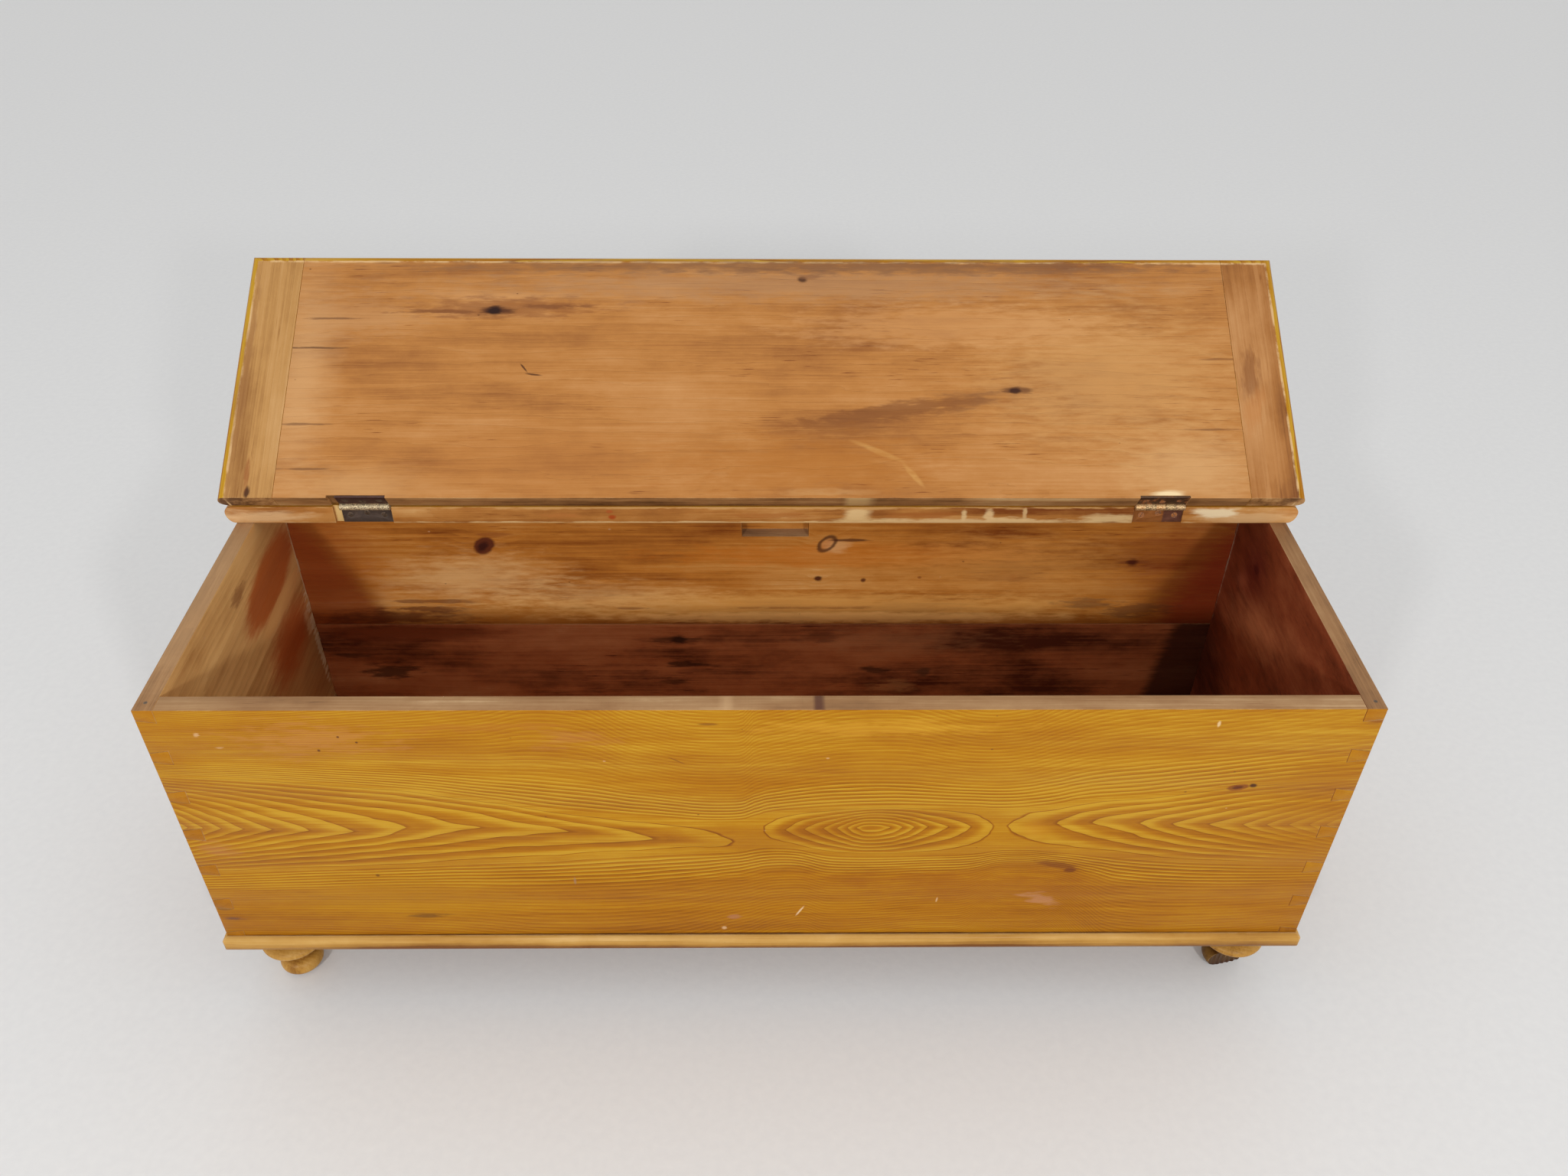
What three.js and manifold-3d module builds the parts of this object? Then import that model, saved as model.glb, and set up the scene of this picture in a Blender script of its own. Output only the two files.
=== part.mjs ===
// A pine blanket chest with its lid thrown back.
//
// The case is a dovetailed box on four turned feet. A rail is fixed along the
// top at the back, and the lid is hung from the front edge of that rail on two
// butt hinges, so it opens past upright and leans back on what stands behind it.
// Lengths are in millimetres. +X runs to the chest's right end as seen from the
// front, +Y to its back and +Z up. The feet stand on z = 0.

import * as THREE from 'three';
import { mergeVertices } from 'three/addons/utils/BufferGeometryUtils.js';
import Module from 'manifold-3d';

// Sizes.

// Case: the outside of the dovetailed box.
const BOX_LENGTH = 1300;
const BOX_DEPTH = 440.4;
const BOX_HEIGHT = 376.5;
const FRONT_THICK = 21.4;
const BACK_THICK = 21.4;
const END_THICK = 21.2;
const BACK_SEAM = 141; // height of the joint between the two back boards, above the box's bottom edge

// Through dovetails: pins on the end boards, tails on the front and back.
const PIN_COUNT = 5;
const PIN_NARROW = 13; // height of a pin where it shows on the end board's outer face
const PIN_FLARE = 3.5; // how much a pin widens on each side towards the inner face
const TOP_PIN_EXTRA = 8; // the top half pin is taller than the bottom one by this much

// An old mortise cut into the inner face of the upper back board, under the rail.
const HOUSING_LENGTH = 89;
const HOUSING_HEIGHT = 42;
const HOUSING_DEPTH = 18;
const HOUSING_DROP = 83.5; // its sill below the box's rim
const HOUSING_OFFSET = 14.5; // its centre lies this far to the right

// Bottom, planted bead and foot blocks.
const PLANK_COUNT = 3;
const PLANK_THICK = 16.2;
const BEAD_HEIGHT = 24;
const BEAD_DEPTH = 7;
const BEAD_CORNER = 6; // the bead's front corners are worn to this radius
const BLOCK_SIDE = 72;
const BLOCK_THICK = 22;

// Turned feet. Heights run up from the floor.
const FOOT_HEIGHT = 82.9;
const FOOT_INSET = 50.7; // foot axis behind the box's outer faces
const TENON_RADIUS = 12;
const BUN_RADIUS = 40.6;
const BUN_HALF = 14;
const BUN_MIDDLE = 58.5;
const BALL_RADIUS = 26.8;
const BALL_MIDDLE = 11.5;
const BALL_TOP_HALF = 12.5;
const PAD_RADIUS = 12;
const NECK_RADIUS = 15;
const COLLAR_RADIUS = 29;
const COLLAR_HEIGHT = 4;

// The right front foot has lost the front of its ball along the grain.
const SPLIT_AHEAD = 8.4; // the split face lies this far in front of the foot's axis
const SPLIT_HEIGHT = 41;
const SPLIT_TURN = THREE.MathUtils.degToRad(13);

// Lid and rear rail, cut from boards of one thickness with the same nosing.
const TOP_THICK = 24;
const NOSE_OUT = 11;
const NOSE_HEIGHT = 14.5; // height of the nosing's widest line above the underside
const RAIL_DEPTH = 108;
const LID_SETBACK = 0.4; // lid's front arris behind the box's front face
const CLEAT_WIDTH = 58.5; // flat of the end cleats, without the nosing
const TONGUE_LENGTH = 15;
const TONGUE_THICK = 8;
const TONGUE_STOP = 22; // the tongue stops this far short of the lid's edges
const LID_OPEN = THREE.MathUtils.degToRad(147.3);

// Butt hinges.
const HINGE_LENGTH = 60.5;
const HINGE_INSET = 162.75; // hinge middles in from the box's ends
const HINGE_GAP = 2; // between the lid's rear edge and the rail
const PIN_RISE = 1; // pin axis above the top faces
const LEAF_WIDTH = 24;
const LEAF_THICK = 2.2;
const KNUCKLE_COUNT = 5;
const KNUCKLE_RADIUS = 4.3;
const HINGE_PIN_RADIUS = 2;
const OLD_MORTISE = 9.5; // the left hinge's recess is longer than its leaf by this much
const SCREW_RADIUS = 2.3;
const SCREW_HEAD_RADIUS = 4;
const SCREW_DROP = 13.5; // outer screws below the pin axis
const SCREW_STEP = 3; // the middle screw sits this much closer to the pin
const SCREW_SPACING = 20.5;

// Clearances.
const JOINT_GAP = 0.3; // between pieces that are glued, nailed or seated
const BORE_GAP = 0.25; // round a hinge pin
const OVERRUN = 5; // how far a cutting solid passes what it cuts

// Facets.
const ROUND_STEPS = 24;
const HOLE_STEPS = 20;
const NOSE_STEPS = 7;
const BEAD_STEPS = 10;
const ARC_STEPS = 5;

// Places.

const HALF_LENGTH = BOX_LENGTH / 2;
const BLOCK_Z = FOOT_HEIGHT + JOINT_GAP;
const PLANK_Z = BLOCK_Z + BLOCK_THICK + JOINT_GAP;
const BOX_Z = PLANK_Z + PLANK_THICK + JOINT_GAP;
const RIM_Z = BOX_Z + BOX_HEIGHT;
const RAIL_Z = RIM_Z + JOINT_GAP;
const RAIL_Y = BOX_DEPTH - RAIL_DEPTH;
const HINGE_AXIS_Y = RAIL_Y - HINGE_GAP / 2;
const HINGE_AXIS_Z = RAIL_Z + TOP_THICK + PIN_RISE;
const LID_REAR = -HINGE_GAP / 2; // in the lid's own frame, whose origin is the hinge axis
const LID_ARRIS = LID_SETBACK - HINGE_AXIS_Y;
const LID_UNDER = -PIN_RISE - TOP_THICK;
const MORTISE_DEPTH = KNUCKLE_RADIUS + JOINT_GAP - HINGE_GAP / 2;
const PANEL_HALF = HALF_LENGTH - CLEAT_WIDTH;

const wasm = await Module();
wasm.setup();

// Solids.

// A closed three.js geometry as a solid that can be joined and cut.
function solid(geometry) {
  const bare = geometry.clone();
  bare.deleteAttribute('normal');
  bare.deleteAttribute('uv');
  const merged = mergeVertices(bare);
  return new wasm.Manifold(new wasm.Mesh({
    numProp: 3,
    vertProperties: Float32Array.from(merged.attributes.position.array),
    triVerts: Uint32Array.from(merged.index.array),
  }));
}

// A solid back as a geometry with flat faces.
function geometryOf(body) {
  const mesh = body.getMesh();
  const geometry = new THREE.BufferGeometry();
  const points = new Float32Array(mesh.vertProperties);
  geometry.setAttribute('position', new THREE.BufferAttribute(points, mesh.numProp));
  geometry.setIndex(new THREE.BufferAttribute(new Uint32Array(mesh.triVerts), 1));
  const flat = geometry.toNonIndexed();
  flat.computeVertexNormals();
  return flat;
}

function box(x0, x1, y0, y1, z0, z1) {
  const geometry = new THREE.BoxGeometry(x1 - x0, y1 - y0, z1 - z0);
  geometry.translate((x0 + x1) / 2, (y0 + y1) / 2, (z0 + z1) / 2);
  return solid(geometry);
}

// Cylinder along X, Y or Z between two places on that axis.
function cylinderX(radius, x0, x1, y, z, steps) {
  const geometry = new THREE.CylinderGeometry(radius, radius, x1 - x0, steps);
  geometry.rotateZ(-Math.PI / 2);
  geometry.translate((x0 + x1) / 2, y, z);
  return solid(geometry);
}

// A cone frustum or cylinder along Y, with its own radius at each end.
function coneY(radius0, radius1, y0, y1, x, z, steps) {
  const geometry = new THREE.CylinderGeometry(radius1, radius0, y1 - y0, steps);
  geometry.translate(x, (y0 + y1) / 2, z);
  return solid(geometry);
}

function cylinderZ(radius, z0, z1, x, y, steps) {
  const geometry = new THREE.CylinderGeometry(radius, radius, z1 - z0, steps);
  geometry.rotateX(Math.PI / 2);
  geometry.translate(x, y, (z0 + z1) / 2);
  return solid(geometry);
}

// A shape drawn in (y, z), run along X.
function alongX(shape, x0, x1) {
  const geometry = new THREE.ExtrudeGeometry(shape, { depth: x1 - x0, bevelEnabled: false });
  const turn = new THREE.Matrix4().makeBasis(
    new THREE.Vector3(0, 1, 0), new THREE.Vector3(0, 0, 1), new THREE.Vector3(1, 0, 0));
  geometry.applyMatrix4(turn);
  geometry.translate(x0, 0, 0);
  return geometry;
}

// A shape drawn in (x, z), run along Y.
function alongY(shape, y0, y1) {
  const geometry = new THREE.ExtrudeGeometry(shape, { depth: y1 - y0, bevelEnabled: false });
  geometry.rotateX(Math.PI / 2);
  geometry.translate(0, y1, 0);
  return geometry;
}

const chest = new THREE.Group();
chest.name = 'blanket_chest';
const lid = new THREE.Group();
lid.name = 'lid';
lid.position.set(0, HINGE_AXIS_Y, HINGE_AXIS_Z);
lid.rotation.x = -LID_OPEN;
chest.add(lid);

function piece(parent, name, geometry, colour, roughness, metalness) {
  const material = new THREE.MeshStandardMaterial({ color: colour, roughness, metalness });
  material.name = name;
  const mesh = new THREE.Mesh(geometry, material);
  mesh.name = name;
  parent.add(mesh);
  return mesh;
}

// Dovetailed box.

// One pin in (x, z) on the end board at the given side, -1 left and 1 right.
// It is narrow on the outer face and wide on the inner one. grow makes it fatter
// all round, for the socket that it fits.
function pinShape(side, low, high, grow) {
  const outer = side * (HALF_LENGTH + grow);
  const inner = side * (HALF_LENGTH - END_THICK - grow);
  const shape = new THREE.Shape();
  shape.moveTo(outer, low - grow);
  shape.lineTo(outer, high + grow);
  shape.lineTo(inner, high + PIN_FLARE + grow);
  shape.lineTo(inner, low - PIN_FLARE - grow);
  shape.closePath();
  return shape;
}

// The narrow spans of all pins up one corner, bottom and top half pins included.
function pinSpans() {
  const pitch = (BOX_HEIGHT - TOP_PIN_EXTRA) / (PIN_COUNT + 1);
  const spans = [];
  for (let k = 1; k <= PIN_COUNT; k += 1) {
    const middle = BOX_Z + k * pitch;
    spans.push([middle - PIN_NARROW / 2, middle + PIN_NARROW / 2]);
  }
  spans.push([BOX_Z - OVERRUN, BOX_Z + PIN_NARROW / 2]);
  spans.push([RIM_Z - TOP_PIN_EXTRA - PIN_NARROW / 2, RIM_Z + OVERRUN]);
  return spans;
}

// A front or back board between two depths, with its tails cut at both ends.
function tailBoard(y0, y1) {
  let board = box(-HALF_LENGTH, HALF_LENGTH, y0, y1, BOX_Z, RIM_Z);
  for (const side of [-1, 1]) {
    for (const [low, high] of pinSpans()) {
      const socket = alongY(pinShape(side, low, high, JOINT_GAP), y0 - OVERRUN, y1 + OVERRUN);
      board = board.subtract(solid(socket));
    }
  }
  return board;
}

// An end board with its pins at the front and the back.
function pinBoard(side) {
  const outer = side * HALF_LENGTH;
  const inner = side * (HALF_LENGTH - END_THICK);
  const x0 = Math.min(outer, inner);
  const x1 = Math.max(outer, inner);
  const front = FRONT_THICK + JOINT_GAP;
  const back = BOX_DEPTH - BACK_THICK - JOINT_GAP;
  let board = box(x0, x1, front, back, BOX_Z, RIM_Z);
  const height = box(x0, x1, 0, BOX_DEPTH, BOX_Z, RIM_Z);
  for (const [low, high] of pinSpans()) {
    const pin = solid(alongY(pinShape(side, low, high, 0), 0, BOX_DEPTH));
    board = board.add(pin.intersect(height));
  }
  return board;
}

piece(chest, 'front_board', geometryOf(tailBoard(0, FRONT_THICK)), 0xbe8628, 0.45, 0);

const backBoard = tailBoard(BOX_DEPTH - BACK_THICK, BOX_DEPTH);
const seam = BOX_Z + BACK_SEAM;
const backInner = BOX_DEPTH - BACK_THICK;
const housingSill = RIM_Z - HOUSING_DROP;
const housing = box(
  HOUSING_OFFSET - HOUSING_LENGTH / 2, HOUSING_OFFSET + HOUSING_LENGTH / 2,
  backInner - OVERRUN, backInner + HOUSING_DEPTH,
  housingSill, housingSill + HOUSING_HEIGHT);
const belowSeam = box(
  -BOX_LENGTH, BOX_LENGTH, 0, BOX_DEPTH + OVERRUN, BOX_Z - OVERRUN, seam + JOINT_GAP / 2);
const aboveSeam = box(
  -BOX_LENGTH, BOX_LENGTH, 0, BOX_DEPTH + OVERRUN, seam - JOINT_GAP / 2, RIM_Z + OVERRUN);
const upperBack = backBoard.subtract(belowSeam).subtract(housing);
const lowerBack = backBoard.subtract(aboveSeam);
piece(chest, 'back_board_upper', geometryOf(upperBack), 0xb07a35, 0.55, 0);
piece(chest, 'back_board_lower', geometryOf(lowerBack), 0x7a5330, 0.6, 0);
piece(chest, 'end_board_left', geometryOf(pinBoard(-1)), 0xb07a3c, 0.55, 0);
piece(chest, 'end_board_right', geometryOf(pinBoard(1)), 0x9a6434, 0.55, 0);

// Bottom, blocks and feet.

// Foot axes as [name, x, y].
const footPlaces = [];
for (const [end, side] of [['left', -1], ['right', 1]]) {
  const x = side * (HALF_LENGTH - FOOT_INSET);
  footPlaces.push([`front_${end}`, x, FOOT_INSET]);
  footPlaces.push([`rear_${end}`, x, BOX_DEPTH - FOOT_INSET]);
}

// A round hole for every foot's tenon, between two heights.
function cutTenonHoles(body, z0, z1) {
  let cut = body;
  for (const [, x, y] of footPlaces) {
    cut = cut.subtract(cylinderZ(TENON_RADIUS + JOINT_GAP, z0, z1, x, y, HOLE_STEPS));
  }
  return cut;
}

// Planks under the box, laid lengthwise.
const plankPitch = BOX_DEPTH / PLANK_COUNT;
for (let k = 0; k < PLANK_COUNT; k += 1) {
  const y0 = k * plankPitch + (k > 0 ? JOINT_GAP / 2 : 0);
  const y1 = (k + 1) * plankPitch - (k < PLANK_COUNT - 1 ? JOINT_GAP / 2 : 0);
  const board = box(-HALF_LENGTH, HALF_LENGTH, y0, y1, PLANK_Z, PLANK_Z + PLANK_THICK);
  const plank = cutTenonHoles(board, PLANK_Z - OVERRUN, BOX_Z + OVERRUN);
  piece(chest, `bottom_plank_${k + 1}`, geometryOf(plank), 0x8f6a3f, 0.7, 0);
}

// A half round bead in (outward, up), planted over the planks' edges.
function beadShape() {
  const shape = new THREE.Shape();
  const half = BEAD_HEIGHT / 2;
  for (let k = 0; k <= BEAD_STEPS; k += 1) {
    const turn = -Math.PI / 2 + (Math.PI * k) / BEAD_STEPS;
    const out = JOINT_GAP + (BEAD_DEPTH - JOINT_GAP) * Math.cos(turn);
    const up = BOX_Z - half + half * Math.sin(turn);
    if (k === 0) shape.moveTo(out, up);
    else shape.lineTo(out, up);
  }
  shape.closePath();
  return shape;
}

// A length of bead along its own run, with each mitred end sheared so that it
// grows with the distance out from the box.
function beadRun(run0, run1, mitre0, mitre1) {
  const geometry = new THREE.ExtrudeGeometry(beadShape(), { depth: run1 - run0, bevelEnabled: false });
  const points = geometry.attributes.position;
  const middle = (run1 - run0) / 2;
  for (let k = 0; k < points.count; k += 1) {
    const along = points.getZ(k);
    const out = points.getX(k);
    const shift = along < middle ? -out * mitre0 : out * mitre1;
    points.setZ(k, run0 + along + shift);
  }
  return geometry;
}

// All that lies inside the bead's outline seen from above, with worn front corners.
function beadPlan() {
  const reach = HALF_LENGTH + BEAD_DEPTH;
  const shape = new THREE.Shape();
  shape.moveTo(reach, BOX_DEPTH + OVERRUN);
  shape.lineTo(-reach, BOX_DEPTH + OVERRUN);
  for (const [side, start] of [[-1, Math.PI], [1, 1.5 * Math.PI]]) {
    for (let k = 0; k <= ARC_STEPS; k += 1) {
      const turn = start + (Math.PI / 2) * (k / ARC_STEPS);
      const x = side * (reach - BEAD_CORNER) + BEAD_CORNER * Math.cos(turn);
      shape.lineTo(x, BEAD_CORNER - BEAD_DEPTH + BEAD_CORNER * Math.sin(turn));
    }
  }
  shape.closePath();
  const plan = new THREE.ExtrudeGeometry(shape, { depth: BEAD_HEIGHT + 2 * OVERRUN, bevelEnabled: false });
  plan.translate(0, 0, BOX_Z - BEAD_HEIGHT - OVERRUN);
  return solid(plan);
}

const mitreGap = JOINT_GAP / 2;
const wornPlan = beadPlan();
const frontBead = beadRun(-HALF_LENGTH + mitreGap, HALF_LENGTH - mitreGap, 1, 1);
frontBead.applyMatrix4(new THREE.Matrix4().makeBasis(
  new THREE.Vector3(0, -1, 0), new THREE.Vector3(0, 0, 1), new THREE.Vector3(-1, 0, 0)));
piece(chest, 'base_bead_front', geometryOf(solid(frontBead).intersect(wornPlan)), 0xc08f45, 0.4, 0);

const rightBead = beadRun(-BOX_DEPTH, -mitreGap, 0, 1);
rightBead.applyMatrix4(new THREE.Matrix4().makeBasis(
  new THREE.Vector3(1, 0, 0), new THREE.Vector3(0, 0, 1), new THREE.Vector3(0, -1, 0)));
rightBead.translate(HALF_LENGTH, 0, 0);
piece(chest, 'base_bead_right', geometryOf(solid(rightBead).intersect(wornPlan)), 0xc08f45, 0.4, 0);

const leftBead = beadRun(mitreGap, BOX_DEPTH, 1, 0);
leftBead.applyMatrix4(new THREE.Matrix4().makeBasis(
  new THREE.Vector3(-1, 0, 0), new THREE.Vector3(0, 0, 1), new THREE.Vector3(0, 1, 0)));
leftBead.translate(-HALF_LENGTH, 0, 0);
piece(chest, 'base_bead_left', geometryOf(solid(leftBead).intersect(wornPlan)), 0xc08f45, 0.4, 0);

// Half outline of a foot in (radius, height), from the floor up to the tenon.
function footOutline() {
  const outline = [new THREE.Vector2(0, 0), new THREE.Vector2(PAD_RADIUS, 0)];
  // Ball: from the pad out to its widest line and in again to the neck.
  for (let k = 1; k <= ARC_STEPS; k += 1) {
    const turn = (Math.PI / 2) * (k / ARC_STEPS);
    const radius = PAD_RADIUS + (BALL_RADIUS - PAD_RADIUS) * Math.sin(turn);
    outline.push(new THREE.Vector2(radius, BALL_MIDDLE - BALL_MIDDLE * Math.cos(turn)));
  }
  for (let k = 1; k <= ARC_STEPS; k += 1) {
    const turn = (Math.PI / 2) * (k / ARC_STEPS);
    const radius = NECK_RADIUS + (BALL_RADIUS - NECK_RADIUS) * Math.cos(turn);
    outline.push(new THREE.Vector2(radius, BALL_MIDDLE + BALL_TOP_HALF * Math.sin(turn)));
  }
  // Neck: a cove that opens into the underside of the bun.
  const coveLow = BALL_MIDDLE + BALL_TOP_HALF;
  const coveHigh = BUN_MIDDLE - BUN_HALF;
  const coveOut = NECK_RADIUS + (coveHigh - coveLow) / 2;
  for (let k = 1; k <= ARC_STEPS; k += 1) {
    const turn = (Math.PI / 2) * (k / ARC_STEPS);
    const radius = coveOut - (coveOut - NECK_RADIUS) * Math.cos(turn);
    outline.push(new THREE.Vector2(radius, coveLow + (coveHigh - coveLow) * Math.sin(turn)));
  }
  // Bun: a flattened ball, from the cove round to the collar.
  const start = -Math.acos(coveOut / BUN_RADIUS);
  const end = Math.acos(COLLAR_RADIUS / BUN_RADIUS);
  const rounds = 2 * ARC_STEPS;
  for (let k = 1; k <= rounds; k += 1) {
    const turn = start + (end - start) * (k / rounds);
    outline.push(new THREE.Vector2(BUN_RADIUS * Math.cos(turn), BUN_MIDDLE + BUN_HALF * Math.sin(turn)));
  }
  outline.push(new THREE.Vector2(COLLAR_RADIUS, FOOT_HEIGHT - COLLAR_HEIGHT));
  outline.push(new THREE.Vector2(COLLAR_RADIUS, FOOT_HEIGHT));
  outline.push(new THREE.Vector2(TENON_RADIUS, FOOT_HEIGHT));
  outline.push(new THREE.Vector2(TENON_RADIUS, PLANK_Z + PLANK_THICK));
  outline.push(new THREE.Vector2(0, PLANK_Z + PLANK_THICK));
  return outline;
}

function foot() {
  const geometry = new THREE.LatheGeometry(footOutline(), ROUND_STEPS);
  geometry.rotateX(Math.PI / 2);
  return geometry;
}

// What broke away from a foot: all that lies in front of an upright face.
function splitWedge() {
  const wide = 2 * BUN_RADIUS;
  const geometry = new THREE.BoxGeometry(wide, wide, SPLIT_HEIGHT + OVERRUN);
  geometry.translate(0, -SPLIT_AHEAD - wide / 2, (SPLIT_HEIGHT - OVERRUN) / 2);
  geometry.rotateZ(SPLIT_TURN);
  return solid(geometry);
}

const blockHalf = BLOCK_SIDE / 2;
for (const [place, x, y] of footPlaces) {
  const whole = box(
    x - blockHalf, x + blockHalf, y - blockHalf, y + blockHalf, BLOCK_Z, BLOCK_Z + BLOCK_THICK);
  const block = cutTenonHoles(whole, BLOCK_Z - OVERRUN, PLANK_Z);
  piece(chest, `foot_block_${place}`, geometryOf(block), 0x9a7040, 0.7, 0);
  const turned = solid(foot());
  const body = place === 'front_right' ? turned.subtract(splitWedge()) : turned;
  const mesh = piece(chest, `foot_${place}`, geometryOf(body), 0xb7884a, 0.4, 0);
  mesh.position.set(x, y, 0);
}

// Rail and lid.

// Nosing points in (out, up) from the lower arris to the top face, for a board
// whose underside is at the given height.
function nosing(underside) {
  const points = [];
  for (let k = 0; k <= 2 * NOSE_STEPS; k += 1) {
    const turn = -Math.PI / 2 + (Math.PI * k) / (2 * NOSE_STEPS);
    const tall = turn < 0 ? NOSE_HEIGHT : TOP_THICK - NOSE_HEIGHT;
    const up = underside + NOSE_HEIGHT + tall * Math.sin(turn);
    points.push([NOSE_OUT * Math.cos(turn), up]);
  }
  return points;
}

// Section in (x, z) of a board with the nosing at both ends.
function twoNosedShape(underside) {
  const shape = new THREE.Shape();
  const right = nosing(underside);
  right.forEach(([out, up], k) => {
    if (k === 0) shape.moveTo(HALF_LENGTH + out, up);
    else shape.lineTo(HALF_LENGTH + out, up);
  });
  for (const [out, up] of [...right].reverse()) shape.lineTo(-HALF_LENGTH - out, up);
  shape.closePath();
  return shape;
}

// Hinge middles as [name, x, extra length of the recess on its left].
const hingeReach = HALF_LENGTH - HINGE_INSET;
const hingePlaces = [
  ['left', -hingeReach, OLD_MORTISE],
  ['right', hingeReach, 0],
];

let rail = solid(alongY(twoNosedShape(RAIL_Z), RAIL_Y, BOX_DEPTH));
for (const [, x, extra] of hingePlaces) {
  rail = rail.subtract(box(
    x - HINGE_LENGTH / 2 - JOINT_GAP - extra, x + HINGE_LENGTH / 2 + JOINT_GAP,
    RAIL_Y - OVERRUN, RAIL_Y + MORTISE_DEPTH,
    RAIL_Z - OVERRUN, RAIL_Z + TOP_THICK + OVERRUN));
}
piece(chest, 'hinge_rail', geometryOf(rail), 0xb27a40, 0.5, 0);

// The whole lid in its own frame, shut: nosing along the front and both ends,
// square at the back.
function lidBlank() {
  const side = new THREE.Shape();
  nosing(LID_UNDER).forEach(([out, up], k) => {
    if (k === 0) side.moveTo(LID_ARRIS - out, up);
    else side.lineTo(LID_ARRIS - out, up);
  });
  side.lineTo(LID_REAR, LID_UNDER + TOP_THICK);
  side.lineTo(LID_REAR, LID_UNDER);
  side.closePath();
  const reach = HALF_LENGTH + NOSE_OUT + OVERRUN;
  const lengthwise = solid(alongX(side, -reach, reach));
  const front = LID_ARRIS - NOSE_OUT - OVERRUN;
  const crosswise = solid(alongY(twoNosedShape(LID_UNDER), front, LID_REAR + OVERRUN));
  return lengthwise.intersect(crosswise);
}

// A tongue at one end of the lid board, grown for the groove that takes it.
function tongue(side, grow) {
  const middle = LID_UNDER + TOP_THICK / 2;
  const root = side * (PANEL_HALF - OVERRUN);
  const tip = side * (PANEL_HALF + TONGUE_LENGTH + grow);
  return box(
    Math.min(root, tip), Math.max(root, tip),
    LID_ARRIS + TONGUE_STOP - grow, LID_REAR - TONGUE_STOP + grow,
    middle - TONGUE_THICK / 2 - grow, middle + TONGUE_THICK / 2 + grow);
}

const blank = lidBlank();
const lidFront = LID_ARRIS - NOSE_OUT - OVERRUN;
const lidBelow = LID_UNDER - OVERRUN;
let lidBoard = blank.intersect(
  box(-PANEL_HALF, PANEL_HALF, lidFront, LID_REAR + OVERRUN, lidBelow, OVERRUN));
for (const side of [-1, 1]) lidBoard = lidBoard.add(tongue(side, 0));
for (const [, x, extra] of hingePlaces) {
  lidBoard = lidBoard.subtract(box(
    x - HINGE_LENGTH / 2 - JOINT_GAP - extra, x + HINGE_LENGTH / 2 + JOINT_GAP,
    LID_REAR - MORTISE_DEPTH, LID_REAR + OVERRUN, lidBelow, OVERRUN));
}
piece(lid, 'lid_board', geometryOf(lidBoard), 0xa9733f, 0.55, 0);

for (const [end, side, colour] of [['left', -1, 0xb07d45], ['right', 1, 0x8e5f33]]) {
  const near = side * (PANEL_HALF + JOINT_GAP);
  const far = side * (HALF_LENGTH + NOSE_OUT + OVERRUN);
  const strip = blank.intersect(box(
    Math.min(near, far), Math.max(near, far), lidFront, LID_REAR + OVERRUN, lidBelow, OVERRUN));
  const cleat = strip.subtract(tongue(side, JOINT_GAP));
  piece(lid, `lid_cleat_${end}`, geometryOf(cleat), colour, 0.55, 0);
}

// Hinges.

const knuckleLength = (HINGE_LENGTH - (KNUCKLE_COUNT - 1) * JOINT_GAP) / KNUCKLE_COUNT;

// Span of knuckle k along the pin, counted from the hinge's left end.
function knuckleSpan(k) {
  const x0 = -HINGE_LENGTH / 2 + k * (knuckleLength + JOINT_GAP);
  return [x0, x0 + knuckleLength];
}

// A hinge leaf about its pin axis. It hangs down from the axis on the +Y side
// (side 1, the rail's leaf) or the -Y side (side -1, the lid's leaf). Its plate is
// tangent to the outside of the knuckles.
function hingeLeaf(side, own) {
  const near = side * (KNUCKLE_RADIUS - LEAF_THICK);
  const far = side * KNUCKLE_RADIUS;
  let leaf = box(
    -HINGE_LENGTH / 2, HINGE_LENGTH / 2, Math.min(near, far), Math.max(near, far), -LEAF_WIDTH, 0);
  for (let k = 0; k < KNUCKLE_COUNT; k += 1) {
    if (own(k)) continue;
    const [x0, x1] = knuckleSpan(k);
    leaf = leaf.subtract(cylinderX(
      KNUCKLE_RADIUS + JOINT_GAP, x0 - JOINT_GAP, x1 + JOINT_GAP, 0, 0, HOLE_STEPS));
  }
  for (let k = 0; k < KNUCKLE_COUNT; k += 1) {
    if (!own(k)) continue;
    const [x0, x1] = knuckleSpan(k);
    leaf = leaf.add(cylinderX(KNUCKLE_RADIUS, x0, x1, 0, 0, HOLE_STEPS));
  }
  leaf = leaf.subtract(cylinderX(
    HINGE_PIN_RADIUS + BORE_GAP, -HINGE_LENGTH, HINGE_LENGTH, 0, 0, HOLE_STEPS));
  // Countersunk screw holes, the middle one set closer to the pin.
  for (const place of [-1, 0, 1]) {
    const x = place * SCREW_SPACING;
    const z = place === 0 ? SCREW_STEP - SCREW_DROP : -SCREW_DROP;
    const hole = coneY(SCREW_RADIUS, SCREW_RADIUS, -LEAF_WIDTH, LEAF_WIDTH, x, z, HOLE_STEPS);
    const mouth = side > 0
      ? coneY(SCREW_HEAD_RADIUS, SCREW_RADIUS, near, far, x, z, HOLE_STEPS)
      : coneY(SCREW_RADIUS, SCREW_HEAD_RADIUS, far, near, x, z, HOLE_STEPS);
    leaf = leaf.subtract(hole).subtract(mouth);
  }
  return geometryOf(leaf);
}

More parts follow.
